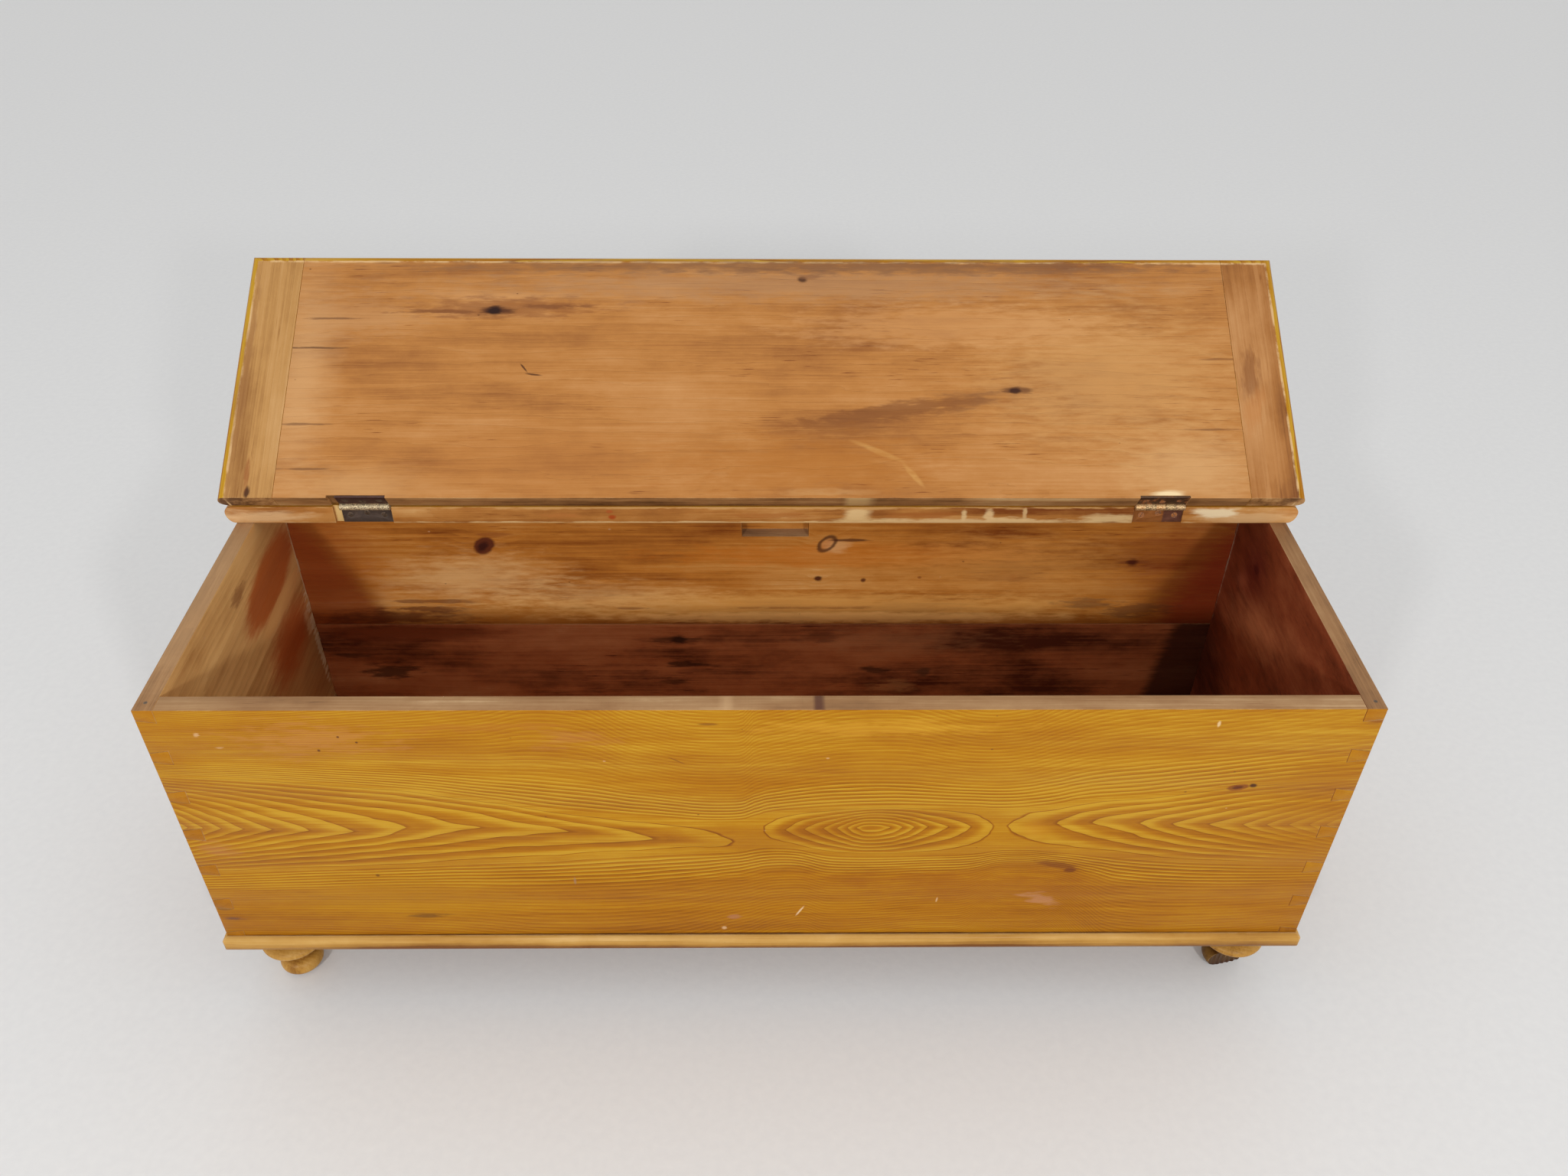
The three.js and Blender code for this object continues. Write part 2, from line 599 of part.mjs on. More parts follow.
const railKnuckles = (k) => k % 2 === 0;
const lidKnuckles = (k) => k % 2 === 1;
for (const [end, x] of hingePlaces) {
  const railLeaf = piece(
    chest, `hinge_${end}_rail_leaf`, hingeLeaf(1, railKnuckles), 0x5c5450, 0.6, 0.8);
  railLeaf.position.set(x, HINGE_AXIS_Y, HINGE_AXIS_Z);
  const pin = solid(new THREE.CylinderGeometry(
    HINGE_PIN_RADIUS, HINGE_PIN_RADIUS, HINGE_LENGTH, HOLE_STEPS).rotateZ(Math.PI / 2));
  const hingePin = piece(chest, `hinge_${end}_pin`, geometryOf(pin), 0x6a625c, 0.5, 0.9);
  hingePin.position.set(x, HINGE_AXIS_Y, HINGE_AXIS_Z);
  const lidLeaf = piece(
    lid, `hinge_${end}_lid_leaf`, hingeLeaf(-1, lidKnuckles), 0x4d453f, 0.6, 0.8);
  lidLeaf.position.set(x, 0, 0);
}

// The middle of the whole chest, lid open, goes on the Z axis.
const bounds = new THREE.Box3().setFromObject(chest, true);
const centre = bounds.getCenter(new THREE.Vector3());
chest.position.set(-centre.x, -centre.y, -bounds.min.z);

export default chest;
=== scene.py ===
# %% [markdown]
# # A pine blanket chest, from measured boards to worn varnish
# This lesson dresses a measured model of an old pine chest. The boards, hinges
# and feet already have their true sizes, so nothing is scaled here. Each step
# eases an edge, turns a foot or mixes a finish, and says why it is done so.

# %% Load the measured chest
import math
from collections import namedtuple

import bmesh
import bpy
from mathutils import Matrix, Vector


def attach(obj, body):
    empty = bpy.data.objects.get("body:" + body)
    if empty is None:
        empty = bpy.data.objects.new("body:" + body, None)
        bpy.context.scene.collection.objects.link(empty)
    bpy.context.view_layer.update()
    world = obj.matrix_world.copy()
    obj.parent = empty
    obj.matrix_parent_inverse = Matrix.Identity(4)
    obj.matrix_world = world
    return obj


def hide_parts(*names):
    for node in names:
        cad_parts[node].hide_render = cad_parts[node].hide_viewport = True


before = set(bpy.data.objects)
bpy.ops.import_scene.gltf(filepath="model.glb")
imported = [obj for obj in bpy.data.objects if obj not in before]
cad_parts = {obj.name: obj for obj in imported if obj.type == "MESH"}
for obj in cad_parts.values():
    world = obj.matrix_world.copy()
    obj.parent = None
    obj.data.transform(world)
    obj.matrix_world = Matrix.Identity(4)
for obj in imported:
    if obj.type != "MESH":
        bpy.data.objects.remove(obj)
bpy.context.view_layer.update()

scene = bpy.context.scene

# %% [markdown]
# ## The camera
# The chest was photographed by someone standing in front of it and looking down
# into the box. The camera's place and tilt were worked out from the chest's own
# corners, and its three directions go straight into the camera's matrix, which
# is exact and needs no tracking constraint.

# %% Camera
CAMERA_PLACE = Vector((0.00682, -1.25616, 1.413))
CAMERA_YAW = math.radians(0.8306)
CAMERA_PITCH = math.radians(38.361)
CAMERA_ROLL = math.radians(-0.494)
LENS = 29.19
SENSOR_WIDTH = 36


def put(name, data):
    """A new object with this data, in the scene."""
    thing = bpy.data.objects.new(name, data)
    scene.collection.objects.link(thing)
    return thing


def aim_camera(place, yaw, pitch, roll, lens):
    """A camera from its place and its turns to the side, down and about its own line of sight."""
    ahead = Vector((math.sin(yaw) * math.cos(pitch), math.cos(yaw) * math.cos(pitch), -math.sin(pitch)))
    level = Vector((math.cos(yaw), -math.sin(yaw), 0))
    down = ahead.cross(level)
    right = math.cos(roll) * level + math.sin(roll) * down
    below = -math.sin(roll) * level + math.cos(roll) * down
    camera = put("camera", bpy.data.cameras.new("camera"))
    camera.data.lens = lens
    camera.data.sensor_width = SENSOR_WIDTH
    turn = Matrix((right, -below, -ahead)).transposed().to_4x4()
    camera.matrix_world = Matrix.Translation(place) @ turn
    return camera


scene.camera = aim_camera(CAMERA_PLACE, CAMERA_YAW, CAMERA_PITCH, CAMERA_ROLL, LENS)
print("camera looks down", round(math.degrees(CAMERA_PITCH), 1), "degrees")

# %% [markdown]
# ## A short hand for wiring nodes
# Blender joins shader nodes one link at a time, which is long to write. This
# small class adds a node, fills its inputs with numbers or with other nodes'
# outputs, and hands back what the next step needs.

# %% Wiring


def tint(red, green, blue):
    """A colour read off in the usual 0 to 255 steps, as Blender's linear colour."""
    steps = [channel / 255 for channel in (red, green, blue)]
    return tuple(s / 12.92 if s <= 0.04045 else ((s + 0.055) / 1.055) ** 2.4 for s in steps) + (1,)


class Wiring:
    """Adds nodes to one tree and joins them, so that a finish reads from top to bottom."""

    def __init__(self, tree):
        self.tree = tree

    def fill(self, socket, value):
        if isinstance(value, bpy.types.NodeSocket):
            self.tree.links.new(value, socket)
        elif value is not None:
            socket.default_value = value

    def add(self, kind, inputs=None, **settings):
        """One node with its settings, and its inputs given by name or number."""
        node = self.tree.nodes.new(kind)
        for key, value in settings.items():
            setattr(node, key, value)
        for key, value in (inputs or {}).items():
            self.fill(node.inputs[key], value)
        return node

    def math(self, operation, first, second=None, third=None, clamp=False):
        node = self.add("ShaderNodeMath", operation=operation, use_clamp=clamp)
        for socket, value in zip(node.inputs, (first, second, third)):
            self.fill(socket, value)
        return node.outputs[0]

    def vector(self, operation, first, second=None):
        node = self.add("ShaderNodeVectorMath", operation=operation)
        for socket, value in zip(node.inputs, (first, second)):
            self.fill(socket, value)
        return node.outputs["Value" if operation in ("LENGTH", "DOT_PRODUCT") else "Vector"]

    def spread(self, value, low, high, to_low=0.0, to_high=1.0, soft=True):
        """Maps low..high to to_low..to_high, with soft ends."""
        kind = "SMOOTHSTEP" if soft else "LINEAR"
        inputs = {"Value": value, "From Min": low, "From Max": high, "To Min": to_low, "To Max": to_high}
        return self.add("ShaderNodeMapRange", inputs, interpolation_type=kind).outputs["Result"]

    def blend(self, factor, first, second, how="MIX"):
        inputs = {0: factor, 6: first, 7: second}
        return self.add("ShaderNodeMix", inputs, data_type="RGBA", blend_type=how).outputs[2]

    def noise(self, place, detail=2.0, rough=0.5):
        inputs = {"Vector": place, "Scale": 1.0, "Detail": detail, "Roughness": rough}
        return self.add("ShaderNodeTexNoise", inputs).outputs[0]

    def combine(self, x, y, z):
        return self.add("ShaderNodeCombineXYZ", {0: x, 1: y, 2: z}).outputs[0]

    def ramp(self, value, stops):
        """A colour ramp through (place, colour) stops."""
        node = self.add("ShaderNodeValToRGB", {0: value})
        elements = node.color_ramp.elements
        while len(elements) < len(stops):
            elements.new(0.5)
        for element, (place, colour) in zip(elements, stops):
            element.position = place
            element.color = colour
        return node.outputs[0]

    def place(self, group, **inputs):
        """A node group, with inputs named as on the group and _ for each space."""
        node = self.add("ShaderNodeGroup", node_tree=bpy.data.node_groups[group])
        for key, value in inputs.items():
            self.fill(node.inputs[key.replace("_", " ")], value)
        return node.outputs


print("wiring can do:", ", ".join(name for name in vars(Wiring) if not name.startswith("_")))

# %% [markdown]
# ## Light and room
# Two panels stand well in front of the chest, left and right, about 27 degrees
# up, as the lamps of the photograph did: their light reaches the upper part of
# the back and leaves a slanting shade in both corners of the box. A white room
# fills that shade. The level is chosen so that a colour renders about as it is
# written, and only rays that come straight from the camera, from a gloss or
# through glass see the room as full white.

# %% Panels
PANEL_WATTS = 52
PANEL_SIDE = 0.3
PANEL_TARGET = (0.0, 0.0, 0.3)
PANEL_PLACES = {"panel_left": (-1.66, -3.9, 2.45), "panel_right": (1.64, -3.9, 2.45)}


def panel(name, place, target, side, watts):
    """A square area lamp that faces a target."""
    lamp = bpy.data.lights.new(name, "AREA")
    lamp.size = side
    lamp.energy = watts
    holder = put(name, lamp)
    holder.location = place
    holder.rotation_euler = (Vector(target) - Vector(place)).to_track_quat("-Z", "Y").to_euler()


for name, place in PANEL_PLACES.items():
    panel(name, place, PANEL_TARGET, PANEL_SIDE, PANEL_WATTS)
scene.view_settings.view_transform = "Standard"
print("panels:", len(PANEL_PLACES), "of", PANEL_WATTS, "watts")

# %% Room
ROOM_LEVEL = 0.72

scene.world = bpy.data.worlds.new("room")
scene.world.use_nodes = True
scene.world.node_tree.nodes.clear()
w = Wiring(scene.world.node_tree)
rays = w.add("ShaderNodeLightPath").outputs
seen = w.math("MAXIMUM", rays["Is Camera Ray"], rays["Is Glossy Ray"])
seen = w.math("MAXIMUM", seen, rays["Is Transmission Ray"])
level = w.spread(seen, 0.0, 1.0, ROOM_LEVEL, 1.0, soft=False)
sky = w.add("ShaderNodeBackground", {"Color": (1, 1, 1, 1), "Strength": level})
w.add("ShaderNodeOutputWorld", {"Surface": sky.outputs["Background"]})
print("room level", ROOM_LEVEL)

# %% [markdown]
# ## Yearly rings as node groups
# A plank shows slices through the tree's yearly rings, which are cones round
# the pith, the tree's middle line. One group counts how many rings a point lies
# from that line. A second turns any ring count into a tone, so a board whose
# rings follow another rule can share it. Inputs are in millimetres along,
# across and through the plank.

# %% An empty group
PLACE = {"Along": 0, "Across": 0, "Through": 0, "Seed": 0}


def new_group(name, inputs, outputs):
    """An empty node group, its wiring, its input sockets and its output node."""
    tree = bpy.data.node_groups.new(name, "ShaderNodeTree")
    for label, value in inputs.items():
        socket = tree.interface.new_socket(name=label, in_out="INPUT", socket_type="NodeSocketFloat")
        socket.default_value = value
    for label in outputs:
        tree.interface.new_socket(name=label, in_out="OUTPUT", socket_type="NodeSocketFloat")
    return Wiring(tree), tree.nodes.new("NodeGroupInput").outputs, tree.nodes.new("NodeGroupOutput").inputs


print("every board group starts from", ", ".join(PLACE))

# %% Ring groups


def stretched(w, given, along, across, offset):
    """A noise's place: the plank's coordinates squeezed along and across, and shifted by the seed."""
    x = w.math("MULTIPLY_ADD", given["Along"], along, w.math("MULTIPLY", given["Seed"], offset))
    y = w.math("MULTIPLY_ADD", given["Across"], across, given["Seed"])
    return w.combine(x, y, w.math("MULTIPLY", given["Through"], across))


w, given, made = new_group(
    "cone rings", dict(PLACE, **{"Pith Depth": 60, "Ring Width": 5, "Waver": 3, "Pull": 0}), ["Rings"])
slow = w.math("SUBTRACT", w.noise(stretched(w, given, 0.0022, 0.012, 1.7)), 0.5)
quick = w.math("SUBTRACT", w.noise(stretched(w, given, 0.012, 0.09, 2.3)), 0.5)
waver = w.math("MULTIPLY", given["Waver"], w.math("MULTIPLY_ADD", quick, 0.35, w.math("MULTIPLY", slow, 2)))
depth = w.math("SUBTRACT", given["Through"], given["Pith Depth"])
square = w.math("MULTIPLY_ADD", depth, depth, w.math("MULTIPLY", given["Across"], given["Across"]))
radius = w.math("ADD", w.math("SQRT", square), w.math("ADD", waver, given["Pull"]))
w.fill(made["Rings"], w.math("DIVIDE", radius, given["Ring Width"]))

w, given, made = new_group("year rings", {"Rings": 0, "Seed": 0}, ["Tone"])
within = w.math("FRACT", given["Rings"])
count = w.math("ADD", w.math("FLOOR", given["Rings"]), given["Seed"])
year = w.add("ShaderNodeTexWhiteNoise", {"W": count}, noise_dimensions="1D").outputs["Value"]
late = w.spread(within, w.math("MULTIPLY_ADD", year, 0.25, 0.12), 0.82)
start = w.spread(within, 0.0, 0.16, 1.0, 0.0)
w.fill(made["Tone"], w.math("MULTIPLY_ADD", late, 0.62, w.math("MULTIPLY_ADD", start, -0.34, 0.36)))
print("ring groups:", len(bpy.data.node_groups))

# %% [markdown]
# ## Fibres, streaks and clouds
# Between its rings pine is full of fine fibres, and old unvarnished boards show
# long soft streaks, brown clouds and short dark ticks more than rings. They are
# all one noise stretched along the grain by different amounts. One more, torn,
# frays the edges of stains and knots.

# %% Fibre group
w, given, made = new_group("fibres", dict(PLACE), ["Fibre", "Streak", "Cloud", "Tick", "Grime", "Torn"])
w.fill(made["Fibre"], w.noise(stretched(w, given, 0.007, 0.4, 3.1), 4.0, 0.7))
w.fill(made["Streak"], w.noise(stretched(w, given, 0.0028, 0.062, 5.9), 4.0, 0.58))
w.fill(made["Cloud"], w.noise(stretched(w, given, 0.0036, 0.013, 8.3), 2.0, 0.5))
w.fill(made["Grime"], w.noise(stretched(w, given, 0.02, 0.035, 7.7), 5.0, 0.66))
crowd = w.spread(w.noise(stretched(w, given, 0.006, 0.02, 2.9), 1.0), 0.47, 0.66)
sharp_ticks = w.spread(w.noise(stretched(w, given, 0.022, 0.42, 4.3), 2.0, 0.6), 0.6, 0.74)
w.fill(made["Tick"], w.math("MULTIPLY", crowd, sharp_ticks))
frayed = w.combine(w.math("MULTIPLY", given["Along"], 0.035), w.math("MULTIPLY", given["Across"], 0.16), 0.7)
w.fill(made["Torn"], w.noise(frayed, 3.0, 0.6))
print("fibre masks:", ", ".join(socket.name for socket in made if socket.name))

# %% [markdown]
# ## A mark: knot, stain, chip, patch or painted shade
# Old boards carry marks at known places, and some marks here are painted shade
# or painted light at shadows. One group makes an oval mask whose edge a noise
# tears, and a ring round it for knots. Small dents and pits lie scattered, so a
# second group drops dots into a fraction of a grid's cells.

# %% Mark groups
w, given, made = new_group(
    "mark",
    {"Along": 0, "Across": 0, "Torn": 0.5, "Centre Along": 0, "Centre Across": 0, "Half Length": 10,
     "Half Width": 5, "Tilt": 0, "Ragged": 0.3, "Soft": 0.65},
    ["Mask", "Rim"])
du = w.math("SUBTRACT", given["Along"], given["Centre Along"])
dv = w.math("SUBTRACT", given["Across"], given["Centre Across"])
cosine, sine = w.math("COSINE", given["Tilt"]), w.math("SINE", given["Tilt"])
u = w.math("MULTIPLY_ADD", du, cosine, w.math("MULTIPLY", dv, sine))
v = w.math("SUBTRACT", w.math("MULTIPLY", dv, cosine), w.math("MULTIPLY", du, sine))
oval = w.vector("LENGTH", w.combine(
    w.math("DIVIDE", u, given["Half Length"]), w.math("DIVIDE", v, given["Half Width"]), 0.0))
torn = w.math("SUBTRACT", given["Torn"], 0.5)
reach = w.math("MULTIPLY_ADD", torn, w.math("MULTIPLY", given["Ragged"], 3), oval)
w.fill(made["Mask"], w.spread(reach, w.math("SUBTRACT", 1.0, given["Soft"]), 1.0, 1.0, 0.0))
w.fill(made["Rim"], w.math("MULTIPLY", w.spread(reach, 0.5, 0.8), w.spread(reach, 0.9, 1.2, 1.0, 0.0)))

w, given, made = new_group(
    "specks", {"Along": 0, "Across": 0, "Pitch": 20, "Share": 0.3, "Seed": 0}, ["Mask"])
grid = w.combine(
    w.math("MULTIPLY_ADD", w.math("DIVIDE", given["Along"], given["Pitch"]), 0.7, given["Seed"]),
    w.math("DIVIDE", given["Across"], given["Pitch"]), 0.0)
cell = w.add("ShaderNodeTexVoronoi", {"Vector": grid, "Scale": 1.0}).outputs
chance = w.add("ShaderNodeSeparateXYZ", {0: cell["Color"]}).outputs
size = w.math("MULTIPLY_ADD", chance[1], 0.08, 0.02)
dot = w.spread(cell["Distance"], w.math("MULTIPLY", size, 0.5), size, 1.0, 0.0)
w.fill(made["Mask"], w.math("MULTIPLY", dot, w.math("LESS_THAN", chance[0], given["Share"])))
print("groups with the marks:", len(bpy.data.node_groups))

# %% [markdown]
# ## Worn arrises
# Handling rubs varnish off a board's sharp edges, the arrises. The Bevel node
# tells how near a point is to an edge: it rounds the normal there, and the
# difference from the true normal becomes the mask. A noise breaks it up.

# %% Worn arris group
w, given, made = new_group("worn arris", {"Radius": 0.002, "Amount": 0.6, "Seed": 0}, ["Mask"])
true_normal = w.add("ShaderNodeNewGeometry").outputs["Normal"]
rounded = w.add("ShaderNodeBevel", {"Radius": given["Radius"]}, samples=4).outputs[0]
edge = w.spread(w.vector("DOT_PRODUCT", true_normal, rounded), 0.99, 0.8)
point = w.add("ShaderNodeTexCoord").outputs["Object"]
shifted = w.vector("ADD", w.vector("MULTIPLY", point, (45, 45, 45)), w.combine(given["Seed"], 0.0, 0.0))
low = w.math("SUBTRACT", 0.9, given["Amount"])
patchy = w.spread(w.noise(shifted, 4.0, 0.65), low, w.math("ADD", low, 0.2))
w.fill(made["Mask"], w.math("MULTIPLY", edge, patchy))
print("shared groups:", len(bpy.data.node_groups))

# %% [markdown]
# ## From place to plank
# Every finish starts by asking where a point lies in its own plank: how far
# along the grain, across it and in from the outer face. The lid lies open, so
# its points are first turned back about the hinge pin as if it were shut.

# %% Places on a plank
HINGE_AXIS = (0.0, 0.027483, 0.5238)
LID_OPEN = math.radians(147.3)
BOX_BACK = 0.136483
BOX_FRONT = -0.303917
BOX_FLOOR = 0.122
BOX_HALF = 0.65


class Plank:
    """Coordinates of one plank in millimetres, and the direction that its surface faces."""

    def __init__(self, w, along, across, through, seed, on_lid=False):
        coordinates = w.add("ShaderNodeTexCoord").outputs
        place, facing = coordinates["Object"], coordinates["Normal"]
        if on_lid:
            place, facing = self.shut(w, place, HINGE_AXIS), self.shut(w, facing, (0, 0, 0))
        self.w = w
        self.point = w.add("ShaderNodeSeparateXYZ", {0: place}).outputs
        self.facing = w.add("ShaderNodeSeparateXYZ", {0: facing}).outputs
        self.along, self.across, self.through = (self.measure(*rule) for rule in (along, across, through))
        self.place = {"Along": self.along, "Across": self.across, "Through": self.through, "Seed": seed}
        self.fibres = w.place("fibres", **self.place)

    @staticmethod
    def shut(w, vector, centre):
        """A vector of the open lid turned back to where it lies when the lid is shut."""
        turn = {"Vector": vector, "Center": centre, "Angle": LID_OPEN}
        return w.add("ShaderNodeVectorRotate", turn, rotation_type="X_AXIS").outputs[0]

    def measure(self, axis, sign, zero):
        """Millimetres from a zero place on an axis, counted up for sign 1 and down for -1."""
        return self.w.math("MULTIPLY_ADD", self.point["XYZ".index(axis)], sign * 1000, -sign * zero * 1000)

    def faces(self, axis, sign):
        """A mask of the surface that faces one way."""
        return self.w.spread(self.w.math("MULTIPLY", self.facing["XYZ".index(axis)], sign), 0.55, 0.8)

    def mark(self, along, across, length, width, tilt=0.0, ragged=0.3, soft=0.65):
        """Outputs of the mark group for an oval, in millimetres and degrees."""
        return self.w.place(
            "mark", Along=self.along, Across=self.across, Torn=self.fibres["Torn"], Centre_Along=along,
            Centre_Across=across, Half_Length=length, Half_Width=width, Tilt=math.radians(tilt),
            Ragged=ragged, Soft=soft)


print("a plank is measured from the box's front at", BOX_FRONT, "and its floor at", BOX_FLOOR)

# %% [markdown]
# ## The finish of a pine board
# Every face of a board has a look: a ramp from its darkest to its palest tone,
# a roughness, and how strongly rings, streaks, clouds and ticks show. On
# varnished faces the soft early wood drank the stain, so the late wood of each
# ring is the pale part. On raw faces it is the dark part, and its strength is
# negative here. Masks of the facing direction choose between the looks.

# %% Looks
PLAIN = 0.42
MIDDLE_TONE = 0.4


def look(ramp, rough, rings, streaks=0.4, clouds=0.5, ticks=0.1, grime=0.2, fibres=0.5):
    """A ramp of four tones, dark to pale, its roughness and how strongly each effect moves along it."""
    stops = [(place, tint(*colour)) for place, colour in zip((0.0, PLAIN, 0.7, 1.0), ramp)]
    return {"ramp": stops, "rough": rough, "rings": rings, "streaks": streaks, "clouds": clouds,
            "ticks": ticks, "grime": grime, "fibres": fibres}


HONEY = look([(130, 72, 2), (162, 101, 5), (174, 119, 12), (190, 144, 34)],
             rough=0.36, rings=0.8, streaks=0.32, clouds=0.35, ticks=0.08, grime=0.35, fibres=1.0)
RAW = look([(112, 80, 54), (156, 116, 78), (174, 136, 96), (204, 170, 128)],
           rough=0.75, rings=-0.1, streaks=0.4, clouds=0.6, ticks=0.3, grime=0.6, fibres=0.8)
AGED = look([(110, 70, 40), (154, 106, 62), (172, 124, 78), (192, 146, 98)],
            rough=0.72, rings=-0.3, streaks=0.25, clouds=0.5, ticks=0.3, grime=0.5, fibres=0.6)
END = look([(126, 70, 12), (158, 98, 16), (172, 116, 30), (190, 140, 62)],
           rough=0.45, rings=-0.25, streaks=0.2, clouds=0.6, ticks=0.0, grime=0.5, fibres=0.2)
PIN = look([(134, 78, 4), (165, 104, 8), (176, 120, 15), (192, 145, 38)],
           rough=0.4, rings=-0.12, streaks=0.1, clouds=0.4, ticks=0.0, grime=0.6, fibres=0.2)
CLEAN = look([(140, 90, 46), (200, 148, 92), (214, 168, 112), (228, 188, 138)],
             rough=0.7, rings=-0.25, streaks=0.5, clouds=0.6, ticks=0.3, grime=0.4)

print("looks so far: varnished, raw, aged, end grain, pins and clean inside wood")

# %% A material and its shader


class Finish:
    """One material, its wiring and its shader."""

    def __init__(self, name):
        self.material = bpy.data.materials.new(name)
        self.material.use_nodes = True
        tree = self.material.node_tree
        tree.nodes.clear()
        self.w = Wiring(tree)
        self.shader = self.w.add("ShaderNodeBsdfPrincipled")
        output = self.w.add("ShaderNodeOutputMaterial")
        tree.links.new(self.shader.outputs[0], output.inputs["Surface"])

    def close(self, colour, roughness, height, depth, **constants):
        """Joins colour, roughness and relief to the shader."""
        w = self.w
        bump = w.add("ShaderNodeBump", {"Strength": 1.0, "Distance": depth, "Height": height})
        for key, value in {"Base Color": colour, "Roughness": roughness, "Normal": bump.outputs[0]}.items():
            w.fill(self.shader.inputs[key], value)
        for key, value in constants.items():
            self.shader.inputs[key.replace("_", " ")].default_value = value
        return self.material


print("materials before the boards:", len(bpy.data.materials))

# %% From effects to a tone
EFFECTS = ("Streak", "Cloud", "Grime", "Fibre")
levels = dict({"Tone": MIDDLE_TONE, "Lift": PLAIN, "Tick": 0}, **{label: 0.5 for label in EFFECTS})
strengths = {f"{label} Strength": 0.5 for label in EFFECTS + ("Ring", "Tick")}
w, given, made = new_group("figure", dict(levels, **strengths), ["Value"])
value = w.math(
    "MULTIPLY_ADD", w.math("SUBTRACT", given["Tone"], MIDDLE_TONE), given["Ring Strength"], given["Lift"])
for label in EFFECTS:
    value = w.math("MULTIPLY_ADD", w.math("SUBTRACT", given[label], 0.5), given[f"{label} Strength"], value)
fade = w.math("MULTIPLY", given["Tick Strength"], -1)
w.fill(made["Value"], w.math("MULTIPLY_ADD", given["Tick"], fade, value, clamp=True))


def figure_of(w, look, tone, fibres, lift):
    """The value that runs through a look's ramp: up for pale and down for dark."""
    masks = {label: fibres[label] for label in EFFECTS + ("Tick",)}
    return w.place(
        "figure", Tone=tone, Lift=lift, Ring_Strength=look["rings"], Streak_Strength=look["streaks"] * 2,
        Cloud_Strength=look["clouds"] * 2, Grime_Strength=look["grime"], Fibre_Strength=look["fibres"],
        Tick_Strength=look["ticks"], **masks)["Value"]


print("plain wood lies at", PLAIN, "of each ramp")

# %% The lid's varnished edge
LID_SETBACK = 0.4
NOSING_LIFT = 0.6
CHIP_COLOUR = tint(222, 184, 132)

w, given, made = new_group("nosed edge", {"X": 0, "Y": 0, "Torn": 0.5, "Grime": 0.5}, ["Nosing", "Chips"])
side = w.math("ABSOLUTE", w.math("MULTIPLY", given["X"], 1000))
front = w.math("MULTIPLY_ADD", given["Y"], -1000, BOX_FRONT * 1000 + LID_SETBACK)
out = w.math("MAXIMUM", w.math("SUBTRACT", side, BOX_HALF * 1000), front)
out = w.math("MULTIPLY_ADD", w.math("SUBTRACT", given["Torn"], 0.5), 2.4, out)
chipped = w.math("MULTIPLY", w.spread(out, -2.6, -0.8), w.spread(out, 0.6, 1.6, 1.0, 0.0))
w.fill(made["Nosing"], w.spread(out, -0.4, 0.8))
w.fill(made["Chips"], w.math("MULTIPLY", chipped, w.spread(given["Grime"], 0.4, 0.56)))


def nosed_edge(w, plank, tone, colour):
    """Lays the varnish of the nosing and the chips along its line over the underside's colour."""
    x, y, _ = plank.point
    edge = w.place("nosed edge", X=x, Y=y, Torn=plank.fibres["Torn"], Grime=plank.fibres["Grime"])
    varnish = w.ramp(figure_of(w, HONEY, tone, plank.fibres, NOSING_LIFT), HONEY["ramp"])
    colour = w.blend(w.math("MULTIPLY", edge["Nosing"], plank.faces("Z", -1)), colour, varnish)
    return w.blend(w.math("MULTIPLY", edge["Chips"], 0.8), colour, CHIP_COLOUR)


print("the lid's edge stands", LID_SETBACK, "mm behind the box's front")

# %% Marks at known places
RIM_STRENGTH = 0.8
# Places and half sizes are in millimetres, colours in the usual 0 to 255 steps and
# tilts in degrees. Strength, ragged and soft go from 0 to 1.
Mark = namedtuple("Mark", "at size colour strength ragged soft tilt pull rim face",
                  defaults=(0.7, 0.3, 0.65, 0, 0, None, None))


def pulled_rings(plank, marks):
    """How far the rings swing aside round the knots among a board's marks."""
    pull = 0.0
    for mark in marks:
        if mark.pull:
            around = plank.mark(*mark.at, mark.size[0] * 3, mark.size[1] * 3.5, 0, 0.05)
            pull = plank.w.math("MULTIPLY_ADD", around["Mask"], mark.pull, pull)
    return pull


def lay_marks(w, plank, marks, colour, masks, main_face):
    """Lays each mark over a colour, on the face that carries it."""
    for mark in marks:
        shape = plank.mark(*mark.at, *mark.size, mark.tilt, mark.ragged, mark.soft)
        face = masks[mark.face or main_face]
        shown = w.math("MULTIPLY", w.math("MULTIPLY", shape["Mask"], mark.strength), face)
        colour = w.blend(shown, colour, tint(*mark.colour))
        if mark.rim:
            ring = w.math("MULTIPLY", shape["Rim"], w.math("MULTIPLY", face, RIM_STRENGTH))
            colour = w.blend(ring, colour, tint(*mark.rim))
    return colour


print("a mark has", ", ".join(Mark._fields))

# %% A board's finish
PALE_DOTS, PALE_PITCH, PALE_SHARE = tint(206, 164, 120), 24.0, 0.55
DARK_DOTS, DARK_PITCH, DARK_SHARE = tint(92, 52, 26), 17.0, 0.6
BARE_WOOD, BARE_SHARE = tint(214, 176, 124), 0.75
# Dark broken wood and painted shade on the split foot.
TORN_AND_SHADED_DARK, TORN_AND_SHADED_PALE, TORN_AND_SHADED_SHARE = tint(16, 10, 8), tint(70, 38, 20), 0.9
WOOD_GLOSS = 0.14
RELIEF_DEPTH = 0.0004


def dots(w, plank, seed, pitch, share):
    """A mask of small dents, in a share of the cells of a grid with this pitch."""
    grid = {"Along": plank.along, "Across": plank.across, "Pitch": pitch, "Share": share, "Seed": seed}
    return w.place("specks", **grid)["Mask"]


